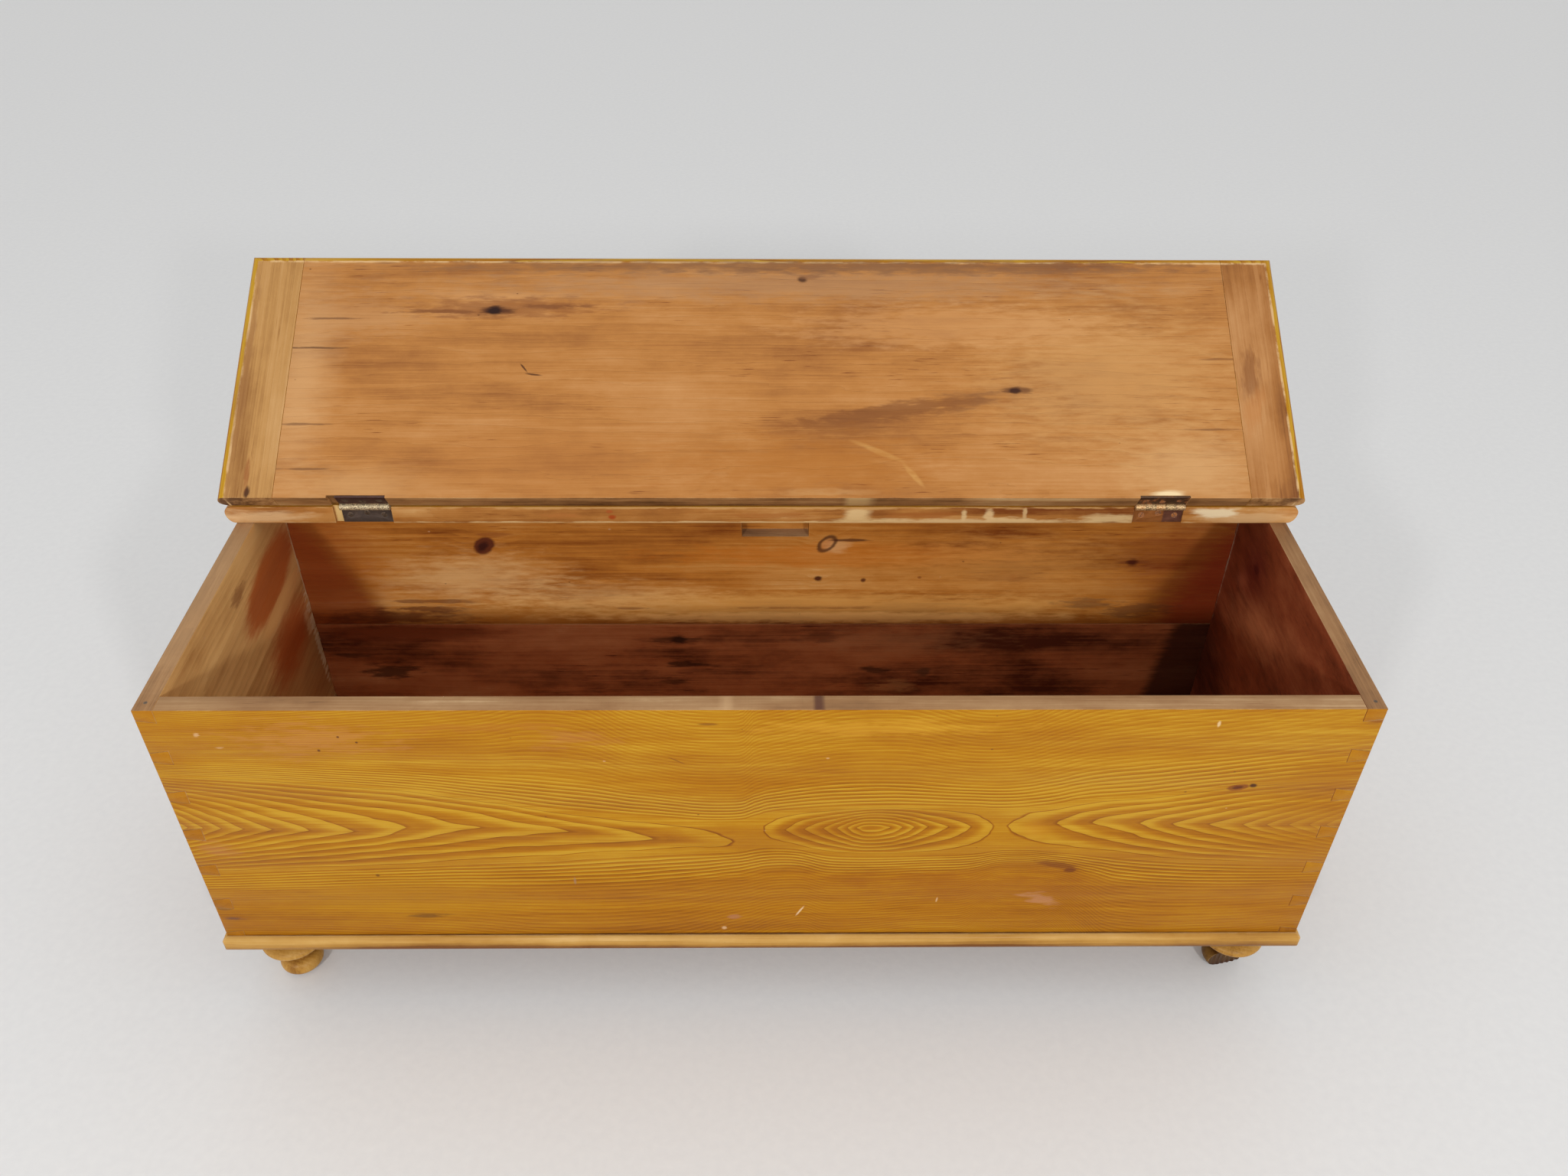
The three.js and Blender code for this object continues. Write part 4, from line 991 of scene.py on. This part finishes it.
lid_pine = pine(
    "lid board pine", ("X", 1, 0), LID_ACROSS, LID_THROUGH, lid_faces(TAN, CLEAN),
    {"Ring_Width": 13.0, "Pith_Depth": -70, "Waver": 26, "Seed": 37.0}, LID_MARKS, on_lid=True, dents=0.1)
left_cleat_pine = pine(
    "left cleat pine", ("Y", -1, HINGE_AXIS[1]), ("X", 1, -0.66), LID_THROUGH, lid_faces(PALE_TAN),
    {"Ring_Width": 7.0, "Pith_Depth": -40, "Waver": 6, "Seed": 41.0},
    [Mark((8, 38), (10, 5), (64, 32, 20), 0.9, 0.5),
     Mark((30, 34), (24, 4), (140, 74, 34), 0.6, 0.5),
     Mark((170, 14), (170, 9), (146, 98, 56), 0.5, 0.5)],
    on_lid=True)
right_cleat_pine = pine(
    "right cleat pine", ("Y", -1, HINGE_AXIS[1]), ("X", 1, 0.59), LID_THROUGH, lid_faces(BROWN_TAN),
    {"Ring_Width": 12.0, "Pith_Depth": -30, "Waver": 20, "Seed": 43.0},
    [Mark((170, 20), (46, 16), (112, 58, 26), 0.5, 0.5),
     Mark((60, 34), (60, 16), (184, 128, 74), 0.5, 0.5),
     Mark((120, 20), (40, 14), (186, 122, 66), 0.5, 0.5, tilt=20)],
    on_lid=True)
print("lid finishes:", ", ".join(wood.name for wood in (lid_pine, left_cleat_pine, right_cleat_pine)))

# %% Hinge rail
RAIL = look([(124, 66, 26), (180, 120, 58), (200, 146, 84), (222, 180, 122)],
            rough=0.5, rings=-0.08, streaks=0.6, clouds=0.9, ticks=0.4, grime=0.6)
rail_pine = pine(
    "rail pine", ("X", 1, 0), ("Z", 1, 0.51), ("Y", 1, 0.0285),
    [("Y", -1, RAIL), ("Z", 1, TOP), ("X", 1, RAIL), ("X", -1, RAIL), ("Z", -1, AGED), ("Y", 1, RAW)],
    {"Ring_Width": 6.0, "Pith_Depth": 90, "Waver": 8, "Seed": 47.0},
    [Mark((600, -3), (90, 14), (214, 172, 122), 0.7, 0.5),
     Mark((-620, -2), (80, 12), (220, 180, 132), 0.75, 0.4),
     Mark((260, -9), (230, 6), (226, 192, 138), 0.85, 0.6),
     Mark((430, -5), (48, 9), (222, 190, 136), 0.85, 0.4),
     Mark((556, 4), (44, 9), (236, 216, 176), 0.9, 0.7),
     Mark((278, -1), (8, 16), (228, 194, 140), 0.85, 0.5),
     Mark((322, 4), (4, 14), (222, 186, 132), 0.75, 0.5),
     Mark((114, 2), (22, 12), (226, 192, 136), 0.9, 0.3),
     Mark((114, -8), (46, 6), (224, 188, 130), 0.8, 0.4),
     Mark((-187, -3), (6, 4), (170, 66, 24), 0.85, 0.4),
     Mark((-190, 6), (5, 3), (176, 86, 40), 0.7, 0.5),
     Mark((-250, 0), (40, 5), (186, 118, 60), 0.6, 0.5),
     Mark((0, -11), (660, 3.4), (224, 188, 132), 0.9, 0.5),
     Mark((0, 12), (660, 3), (206, 158, 96), 0.8, 0.9),
     Mark((200, 1), (60, 6), (166, 98, 44), 0.7, 0.6),
     Mark((20, 0), (70, 6), (172, 106, 50), 0.6, 0.7),
     Mark((300, -6), (40, 5), (226, 190, 134), 0.7, 0.9),
     Mark((247, 0), (5, 14), (226, 194, 140), 0.8, 0.4),
     Mark((-522, 0), (7, 60), (226, 190, 124), 0.95, 0.1)])
print("rail finish:", rail_pine.name)

# %% [markdown]
# ## Feet, bead and blocks
# Turned feet show end grain on their tops and long ovals on their sides, since
# the grain runs up the foot. The bead round the bottom is a thin moulding with
# straight grain. Both took the same varnish and wore pale on their high spots.

# %% Dirt and painted shade on the feet, painted light on the bead
w, given, made = new_group("foot dirt and painted shade", {"Height": 0, "Grime": 0.5}, ["Lift"])
# Darker in the neck, near the floor and under the box: dirt there, and painted shade in these hollows.
above_ball = w.spread(given["Height"], 20.0, 29.0)
below_bun = w.spread(given["Height"], 40.0, 52.0, 1.0, 0.0)
near_floor = w.spread(given["Height"], 0.0, 9.0, 1.0, 0.0)
under_box = w.spread(given["Height"], 66.0, 76.0)
dirt = w.math("MAXIMUM", w.math("MULTIPLY", above_ball, below_bun), w.math("MAXIMUM", near_floor, under_box))
darker = w.math("MULTIPLY_ADD", given["Grime"], -0.6, -0.2)
w.fill(made["Lift"], w.math("MULTIPLY_ADD", dirt, darker, -0.07))

w, given, made = new_group("bead painted light", {"Height": 0}, ["Lift"])
# Painted light: the bead's top lighter and its foot darker, as on a lit half-round.
w.fill(made["Lift"], w.spread(given["Height"], BOX_FLOOR - 0.021, BOX_FLOOR - 0.004, -0.42, 0.15))


def foot_shade(w, plank):
    """The foot is darker in its hollows, at the floor, in the neck and under the box: dirt, and painted shade
    where shade falls.
    """
    return w.place("foot dirt and painted shade", Height=plank.along, Grime=plank.fibres["Grime"])["Lift"]


def bead_shade(w, plank):
    """The bead is painted lighter along its top and darker along its foot, as light falls on a round
    moulding.
    """
    return w.place("bead painted light", Height=plank.point[2])["Lift"]


print("groups with the dirt:", len(bpy.data.node_groups))

# %% Torn wood and painted shade of the right foot
FOOT_X, FOOT_FRONT, FOOT_REAR = 0.5993, -0.253217, 0.085783
SPLIT_LEAN, SPLIT_AHEAD = math.radians(13), 0.0084


def torn_face_and_shade(w, plank):
    """A mask of the dark broken wood on the right front foot, along the line where it split, with painted
    shade under the bun and over the foot's lower part.
    """
    dx = w.math("SUBTRACT", plank.point[0], FOOT_X)
    dy = w.math("SUBTRACT", plank.point[1], FOOT_FRONT)
    ahead = w.math("MULTIPLY_ADD", dy, math.cos(SPLIT_LEAN), w.math("MULTIPLY", dx, -math.sin(SPLIT_LEAN)))
    near = w.spread(w.math("ABSOLUTE", w.math("ADD", ahead, SPLIT_AHEAD)), 0.0014, 0.0024, 1.0, 0.0)
    under = w.spread(plank.point[2], 0.0405, 0.0425, 1.0, 0.0)
    flat = w.spread(w.math("MULTIPLY", plank.facing[1], -1.0), 0.8, 0.92)
    # Painted shade: under the bun ahead of the split, and over the whole foot below the neck.
    below_bun = w.spread(plank.point[2], 0.044, 0.052, 1.0, 0.0)
    shade_beneath_bun = w.math("MULTIPLY", w.spread(ahead, -0.0075, -0.01), below_bun)
    shade_low_on_foot = w.spread(plank.point[2], 0.036, 0.044, 0.75, 0.0)
    split = w.math("MULTIPLY", w.math("MULTIPLY", near, flat), under)
    return w.math("MAXIMUM", w.math("MAXIMUM", split, shade_beneath_bun), shade_low_on_foot)


print("the split leans", round(math.degrees(SPLIT_LEAN)), "degrees from the front")

# %% Turned and moulded finishes
PITH_ASIDE, PITH_BEHIND = 0.012, 0.02
TURNED = look([(116, 68, 20), (178, 130, 58), (196, 152, 82), (216, 178, 116)],
              rough=0.34, rings=0.1, streaks=0.3, clouds=0.5, ticks=0.1, grime=0.5)
foot_pine = {}
for end, side in (("left", -1), ("right", 1)):
    for where, y in (("front", FOOT_FRONT), ("rear", FOOT_REAR)):
        broken = (where, end) == ("front", "right")
        foot_pine[f"{where}_{end}"] = pine(
            f"{where} {end} foot pine", ("Z", 1, 0), ("X", 1, side * FOOT_X + PITH_ASIDE),
            ("Y", 1, y + PITH_BEHIND), [("Z", 1, TURNED)],
            {"Ring_Width": 4.2, "Pith_Depth": 0, "Waver": 3, "Seed": 53.0 + 2 * side + 10 * y},
            worn=(0.002, 0.4), shade=foot_shade, torn_and_shaded=torn_face_and_shade if broken else None)
bead_pine = pine(
    "front bead pine", ("X", 1, 0), ("Z", 1, 0.2), ("Y", 1, -0.4), [("Y", -1, TURNED)],
    {"Ring_Width": 4.0, "Pith_Depth": 0, "Waver": 5, "Seed": 61.0}, worn=(0.003, 0.5), shade=bead_shade)
side_bead_pine = pine(
    "side bead pine", ("Y", 1, 0), ("Z", 1, 0.2), ("X", 1, 0), [("X", -1, TURNED)],
    {"Ring_Width": 4.0, "Pith_Depth": 0, "Waver": 5, "Seed": 67.0}, worn=(0.003, 0.5), shade=bead_shade)
block_pine = pine(
    "foot block pine", ("X", 1, 0), ("Y", 1, 0.3), ("Z", 1, 0), [("Z", -1, AGED)],
    {"Ring_Width": 6.0, "Pith_Depth": 60, "Waver": 6, "Seed": 71.0})
print("wood finishes:", len(bpy.data.materials))

# %% [markdown]
# ## Iron
# The two butt hinges are wrought iron. The left one is dark with bare bright
# knuckles, the right one has rusted orange. One group makes masks of rust, pits
# and polish from two noises, and each hinge sets how far its rust has spread.

# %% Iron group
w, given, made = new_group("iron wear", {"Rust": 0.4, "Seed": 0}, ["Rust", "Pits", "Tone", "Polish"])
point = w.add("ShaderNodeTexCoord").outputs["Object"]
moved = w.vector("ADD", w.vector("MULTIPLY", point, (160, 160, 160)), w.combine(given["Seed"], 0.0, 0.0))
broad = w.noise(w.vector("MULTIPLY", moved, (0.5, 0.5, 0.5)), 3.0, 0.6)
pits = w.noise(w.vector("MULTIPLY", moved, (6, 6, 6)), 3.0, 0.6)
first_rust, full_rust = (w.math("SUBTRACT", level, given["Rust"]) for level in (0.85, 1.0))
w.fill(made["Rust"], w.spread(broad, first_rust, full_rust))
w.fill(made["Pits"], pits)
w.fill(made["Tone"], broad)
_, y, z = w.add("ShaderNodeSeparateXYZ", {0: point}).outputs
from_pin = w.combine(0.0, w.math("SUBTRACT", y, HINGE_AXIS[1]), w.math("SUBTRACT", z, HINGE_AXIS[2]))
near = w.spread(w.vector("LENGTH", from_pin), 0.0052, 0.0042)
w.fill(made["Polish"], w.math("MULTIPLY", near, w.spread(pits, 0.35, 0.6)))
print("iron group gives:", ", ".join(socket.name for socket in made if socket.name))

# %% Iron finish
RUST_DARK, RUST_PALE = tint(126, 66, 30), tint(196, 128, 64)
SMEAR_DARK, SMEAR_PALE = tint(158, 92, 38), tint(196, 130, 66)
BARE_IRON = tint(150, 138, 124)
PIT_DEPTH = 0.0004


def iron(name, dark, mid, rust_share, seed, knuckle, smeared=None):
    """Old iron: a dark skin, patches of rust, rubbed knuckles, and varnish smeared up to a place."""
    finish = Finish(name)
    w = finish.w
    wear = w.place("iron wear", Rust=rust_share, Seed=seed)
    skin = w.blend(wear["Tone"], tint(*dark), tint(*mid))
    rust = w.blend(wear["Pits"], RUST_DARK, RUST_PALE)
    colour = w.blend(wear["Rust"], skin, rust)
    rubbed = w.place("worn arris", Radius=0.0012, Amount=0.55, Seed=seed)["Mask"]
    if smeared:
        place = w.add("ShaderNodeTexCoord").outputs["Object"]
        x = w.add("ShaderNodeSeparateXYZ", {0: place}).outputs[0]
        varnish = w.blend(wear["Tone"], SMEAR_DARK, SMEAR_PALE)
        reach = w.math("MULTIPLY_ADD", wear["Pits"], 0.006, x)
        colour = w.blend(w.spread(reach, smeared - 0.001, smeared + 0.001, 0.9, 0.0), colour, varnish)
    colour = w.blend(wear["Polish"], colour, tint(*knuckle))
    colour = w.blend(w.math("MULTIPLY", rubbed, 0.5), colour, BARE_IRON)
    roughness = w.spread(wear["Rust"], 0.0, 1.0, 0.55, 0.85, soft=False)
    metal = w.math("SUBTRACT", 0.65, w.math("MULTIPLY", wear["Rust"], 0.6))
    w.fill(finish.shader.inputs["Metallic"], metal)
    return finish.close(colour, roughness, wear["Pits"], PIT_DEPTH)


left_iron = iron("left hinge iron", (66, 56, 52), (112, 98, 88), 0.02, 5.0, (240, 220, 176))
left_lid_iron = iron("left lid leaf iron", (62, 38, 36), (96, 64, 58), 0.05, 7.0, (240, 220, 176))
right_iron = iron("right hinge iron", (90, 54, 42), (146, 96, 74), 0.2, 9.0, (236, 204, 150), 0.4965)
right_lid_iron = iron("right lid leaf iron", (58, 36, 26), (110, 76, 50), 0.3, 11.0, (236, 204, 150))
steel = iron("screw iron", (80, 66, 54), (116, 96, 78), 0.2, 13.0, (116, 96, 78))
rusty_steel = iron("rusty screw iron", (86, 54, 34), (128, 84, 52), 0.6, 15.0, (116, 96, 78))
print("iron finishes made")

# %% [markdown]
# ## Easing the boards
# A measured board has razor edges, which no real board has. A copy of each gets
# a fine bevel on every sharp edge, small enough to keep its size, and smooth
# shading where it is rounded. The measured piece is hidden behind the copy.

# %% Eased copies


def eased(node, body, material, ease=0.0005, keep_angle=28):
    """A copy of a measured piece with eased edges, which stands for it."""
    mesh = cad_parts[node].data.copy()
    mesh.materials.clear()
    piece = put(f"{node}_eased", mesh)
    work = bmesh.new()
    work.from_mesh(mesh)
    bmesh.ops.remove_doubles(work, verts=work.verts, dist=1e-6)
    bmesh.ops.dissolve_limit(work, angle_limit=math.radians(1), verts=work.verts, edges=work.edges)
    sharp = [e for e in work.edges if e.is_manifold and e.calc_face_angle() > math.radians(keep_angle)]
    bmesh.ops.bevel(work, geom=sharp, offset=ease, offset_type="OFFSET", segments=2, profile=0.5,
                    affect="EDGES", clamp_overlap=True)
    for face in work.faces:
        face.smooth = True
    work.to_mesh(mesh)
    work.free()
    mesh.set_sharp_from_angle(angle=math.radians(keep_angle + 12))
    mesh.materials.append(material)
    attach(piece, body)
    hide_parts(node)
    return piece


board_finishes = {
    "front_board": front_pine, "back_board_upper": upper_pine, "back_board_lower": lower_pine,
    "end_board_left": left_pine, "end_board_right": right_pine, "base_bead_front": bead_pine,
    "base_bead_left": side_bead_pine, "base_bead_right": side_bead_pine, "hinge_rail": rail_pine,
}
board_finishes.update({f"bottom_plank_{number}": plank_pine for number in (1, 2, 3)})
board_finishes.update({f"foot_block_{place}": block_pine for place in foot_pine})
for node, material in board_finishes.items():
    eased(node, "case", material)
for node, material in (("lid_board", lid_pine), ("lid_cleat_left", left_cleat_pine),
                       ("lid_cleat_right", right_cleat_pine)):
    eased(node, "lid", material)

# %% [markdown]
# ## Turning the feet
# A foot is turned on a lathe, so it is one outline spun round its axis. The
# outline repeats the measured one with more points: a pad and a ball at the
# floor, a hollow neck, a flattened bun and the tenon that holds it.

# %% A foot's outline
PAD_RADIUS = 0.012
BALL_RADIUS, BALL_MIDDLE, BALL_RISE = 0.0268, 0.0115, 0.0125
NECK_RADIUS, NECK_FOOT, NECK_RISE = 0.015, 0.024, 0.0205
BUN_RADIUS, BUN_MIDDLE, BUN_RISE = 0.0406, 0.0585, 0.014
COLLAR_RADIUS, COLLAR_FOOT, COLLAR_TOP = 0.029, 0.0789, 0.0829
TENON_RADIUS, TENON_TOP = 0.012, 0.1216
QUARTER = math.pi / 2


def arc(middle, reach, start, end, steps):
    """Points round an oval from one turn to another: middle and reach are (radius, height)."""
    turns = [start + (end - start) * k / steps for k in range(1, steps + 1)]
    return [(middle[0] + reach[0] * math.cos(turn), middle[1] + reach[1] * math.sin(turn)) for turn in turns]


def foot_outline():
    """Radius and height down one side of a foot, in metres, from the floor to the tenon."""
    hollow = NECK_RADIUS + NECK_RISE / 2
    bun_start, bun_end = -math.acos(hollow / BUN_RADIUS), math.acos(COLLAR_RADIUS / BUN_RADIUS)
    outline = [(0.0, 0.0), (PAD_RADIUS, 0.0)]
    outline += arc((PAD_RADIUS, BALL_MIDDLE), (BALL_RADIUS - PAD_RADIUS, BALL_MIDDLE), -QUARTER, 0, 12)
    outline += arc((NECK_RADIUS, BALL_MIDDLE), (BALL_RADIUS - NECK_RADIUS, BALL_RISE), 0, QUARTER, 12)
    outline += arc((hollow, NECK_FOOT), (hollow - NECK_RADIUS, NECK_RISE), 2 * QUARTER, QUARTER, 10)
    outline += arc((0.0, BUN_MIDDLE), (BUN_RADIUS, BUN_RISE), bun_start, bun_end, 24)
    outline += [(COLLAR_RADIUS, COLLAR_FOOT), (COLLAR_RADIUS, COLLAR_TOP), (TENON_RADIUS, COLLAR_TOP)]
    return outline + [(TENON_RADIUS, TENON_TOP), (0.0, TENON_TOP)]


print("the foot's outline has", len(foot_outline()), "points")

# %% A lathe and a saw
CREASE = math.radians(50)


def lathe(name, outline, steps):
    """Spins an outline of (radius, height) about the Z axis into a closed mesh."""
    mesh = bpy.data.meshes.new(name)
    work = bmesh.new()
    rows = []
    for radius, height in outline:
        turns = [2 * math.pi * k / steps for k in range(1 if radius == 0 else steps)]
        ring = [(radius * math.cos(turn), radius * math.sin(turn), height) for turn in turns]
        rows.append([work.verts.new(corner) for corner in ring])
    for low, high in zip(rows, rows[1:]):
        for k in range(steps):
            after = k + 1
            around = [low[k % len(low)], low[after % len(low)], high[after % len(high)], high[k % len(high)]]
            # A ring of one point, on the axis, gives a triangle.
            corners = list(dict.fromkeys(around))
            if len(corners) > 2:
                work.faces.new(corners)
    bmesh.ops.recalc_face_normals(work, faces=work.faces)
    for face in work.faces:
        face.smooth = True
    work.to_mesh(mesh)
    work.free()
    mesh.set_sharp_from_angle(angle=CREASE)
    return mesh


def place_of(part):
    """Where a corner, an edge or a face lies, as the sorted list of its corners."""
    return sorted(tuple(corner.co) for corner in getattr(part, "verts", [part]))


def cut(piece, tool):
    """Cuts one mesh out of another and applies the result."""
    modifier = piece.modifiers.new("cut", "BOOLEAN")
    modifier.operation = "DIFFERENCE"
    modifier.solver = "EXACT"
    modifier.object = tool
    result = bpy.data.meshes.new_from_object(piece.evaluated_get(bpy.context.evaluated_depsgraph_get()))
    piece.modifiers.clear()
    piece.data = result
    bpy.data.objects.remove(tool)
    # The cut gives the same faces in another order each run, so they are put in order by their place.
    work = bmesh.new()
    work.from_mesh(result)
    for parts in (work.verts, work.edges, work.faces):
        for order, part in enumerate(sorted(parts, key=place_of)):
            part.index = order
        parts.sort()
    work.to_mesh(result)
    work.free()


def coat(piece, material):
    """Gives a piece this one material."""
    piece.data.materials.clear()
    piece.data.materials.append(material)


print("a lathe, a saw and a brush are ready")

# %% What split off the right front foot
SPLIT_HALF_WIDTH, SPLIT_FOOT, SPLIT_HEIGHT = 0.06, -0.005, 0.046
SPLIT_COLUMNS, SPLIT_ROWS = 60, 16
# Each ripple of the torn grain: its height, its turn per metre and where it starts.
SPLIT_RIPPLES = ((0.0007, 900, 0), (0.0005, 2300, 1))


def split_tool(x, y):
    """What broke off the right front foot: a block whose inner face runs along torn grain."""
    mesh = bpy.data.meshes.new("split")
    work = bmesh.new()
    near = []
    for i in range(SPLIT_COLUMNS + 1):
        u = SPLIT_HALF_WIDTH * (2 * i / SPLIT_COLUMNS - 1)
        torn = sum(height * math.sin(u * turn + start) for height, turn, start in SPLIT_RIPPLES)
        heights = [SPLIT_FOOT + SPLIT_HEIGHT * j / SPLIT_ROWS for j in range(SPLIT_ROWS + 1)]
        near.append([work.verts.new((u, -SPLIT_AHEAD + torn * (0.6 + 0.4 * math.sin(j)), height))
                     for j, height in enumerate(heights)])
    for i in range(SPLIT_COLUMNS):
        for j in range(SPLIT_ROWS):
            work.faces.new((near[i][j], near[i + 1][j], near[i + 1][j + 1], near[i][j + 1]))
    border = [e for e in work.edges if e.is_boundary]
    pushed = bmesh.ops.extrude_edge_only(work, edges=border)["geom"]
    outer = [g for g in pushed if isinstance(g, bmesh.types.BMVert)]
    for vert in outer:
        vert.co.y = -2 * SPLIT_HALF_WIDTH
    bmesh.ops.holes_fill(work, edges=[e for e in work.edges if e.is_boundary], sides=0)
    bmesh.ops.recalc_face_normals(work, faces=work.faces)
    work.to_mesh(mesh)
    work.free()
    tool = put("split", mesh)
    tool.matrix_world = Matrix.Translation((x, y, 0)) @ Matrix.Rotation(SPLIT_LEAN, 4, "Z")
    return tool


print("the split stands", SPLIT_AHEAD * 1000, "mm before the foot's middle")

# %% Feet
FOOT_ROUND = 96

outline = foot_outline()
for place, material in foot_pine.items():
    side = 1 if place.endswith("right") else -1
    x, y = side * FOOT_X, FOOT_FRONT if place.startswith("front") else FOOT_REAR
    foot = put(f"foot_{place}_turned", lathe(f"foot_{place}", outline, FOOT_ROUND))
    foot.data.transform(Matrix.Translation((x, y, 0)))
    if place == "front_right":
        cut(foot, split_tool(x, y))
    coat(foot, material)
    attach(foot, "case")
    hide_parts(f"foot_{place}")
print("feet turned:", len(foot_pine))

# %% [markdown]
# ## Hinges, screws and nails
# The measured leaves keep their shape and get the iron finish with eased edges.
# Each leaf is held by three countersunk screws with hand-cut slots, none of
# them quite in line. Two nail heads show in the rim at the front corners.

# %% Hinge leaves and pins
HINGE_IRONS = {"left": (left_iron, left_lid_iron), "right": (right_iron, right_lid_iron)}
for end, (case_iron, lid_iron) in HINGE_IRONS.items():
    eased(f"hinge_{end}_rail_leaf", "case", case_iron, 0.0002, 24)
    eased(f"hinge_{end}_pin", "case", case_iron, 0.0004, 40)
    eased(f"hinge_{end}_lid_leaf", "lid", lid_iron, 0.0002, 24)
print("hinges dressed:", len(HINGE_IRONS))

# %% Screws
HINGE_REACH = 0.48725
SCREW_SPACING, MIDDLE_DROP, OUTER_DROP = 0.0205, 0.0105, 0.0135
LEAF_FACE = 0.0022
SLOT_SIZE = (0.01, 0.0009, 0.0022)
SCREW_HEAD = [(0.0, -0.0062), (0.0022, -0.0062), (0.0022, -0.0018), (0.0038, -0.0001), (0.0036, 0.0),
              (0.0, 0.00015)]
SCREW_TURNS = {"left": (12, 96, 40), "right": (70, 8, 124)}


def slotted_screw(name):
    """A countersunk head with a slot, its face on the XY plane and its shank down."""
    screw = put(name, lathe(name, SCREW_HEAD, 32))
    slot = bpy.data.meshes.new("slot")
    work = bmesh.new()
    bmesh.ops.create_cube(work, size=1, matrix=Matrix.Diagonal(SLOT_SIZE + (1,)))
    work.to_mesh(slot)
    work.free()
    cut(screw, put("slot", slot))
    return screw


def set_screws(name, body, hinge_x, side, turns):
    """Three screws in one leaf. Side 1 is the rail's leaf and -1 the lid's, both as if shut."""
    work = bmesh.new()
    for place, turn in zip((-1, 0, 1), turns):
        drop = MIDDLE_DROP if place == 0 else OUTER_DROP
        mesh = pattern.data.copy()
        stand = Matrix.Rotation(math.radians(90 * side), 4, "X") @ Matrix.Rotation(math.radians(turn), 4, "Z")
        mesh.transform(Matrix.Translation((hinge_x + place * SCREW_SPACING, side * LEAF_FACE, -drop)) @ stand)
        work.from_mesh(mesh)
        bpy.data.meshes.remove(mesh)
    merged = bpy.data.meshes.new(name)
    work.to_mesh(merged)
    work.free()
    swing = Matrix.Rotation(-LID_OPEN, 4, "X") if side < 0 else Matrix.Identity(4)
    merged.transform(Matrix.Translation(HINGE_AXIS) @ swing)
    piece = put(name, merged)
    coat(piece, steel if hinge_x < 0 else rusty_steel)
    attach(piece, body)


pattern = slotted_screw("screw_pattern")
for end, x in (("left", -HINGE_REACH), ("right", HINGE_REACH)):
    turns = SCREW_TURNS[end]
    set_screws(f"hinge_{end}_rail_screws", "case", x, 1, turns)
    set_screws(f"hinge_{end}_lid_screws", "lid", x, -1, turns[::-1])
bpy.data.objects.remove(pattern)
print("screws in each leaf:", len(SCREW_TURNS["left"]))

# %% Rim nails
RIM_TOP = 0.4985
NAIL_HEAD = [(0.0, -0.012), (0.0008, -0.012), (0.0008, -0.0008), (0.0019, -0.0006), (0.0021, 0.0),
             (0.0, 0.0002)]
NAIL_PLACES = {"rim_nail_left": (-0.6394, 0.0121), "rim_nail_right": (0.641, 0.0116)}
for name, (x, behind) in NAIL_PLACES.items():
    nail = put(name, lathe(name, NAIL_HEAD, 20))
    nail.data.transform(Matrix.Translation((x, behind + BOX_FRONT, RIM_TOP)))
    coat(nail, steel)
    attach(nail, "case")

# %% [markdown]
# ## The floor
# One wide pale sheet lies under the feet. Its colour is near white and its
# surface matt, so it keeps a soft shadow and takes no mirror image.

# %% Floor
FLOOR_REACH = 30
FLOOR_DARK, FLOOR_PALE = tint(226, 226, 226), tint(234, 234, 233)
FLOOR_ROUGHNESS, GRIT_DEPTH = 0.9, 0.0002

floor_mesh = bpy.data.meshes.new("floor")
corners = [(FLOOR_REACH * x, FLOOR_REACH * y, 0) for x, y in ((-1, -1), (1, -1), (1, 1), (-1, 1))]
floor_mesh.from_pydata(corners, [], [(0, 1, 2, 3)])
floor = put("floor", floor_mesh)
floor_finish = Finish("pale floor")
w = floor_finish.w
point = w.add("ShaderNodeTexCoord").outputs["Object"]
grit = w.noise(w.vector("MULTIPLY", point, (90, 90, 90)), 3.0)
pale = w.blend(grit, FLOOR_DARK, FLOOR_PALE)
coat(floor, floor_finish.close(pale, FLOOR_ROUGHNESS, grit, GRIT_DEPTH))
print("floor of", 2 * FLOOR_REACH, "metres laid")

# %% [markdown]
# ## The end
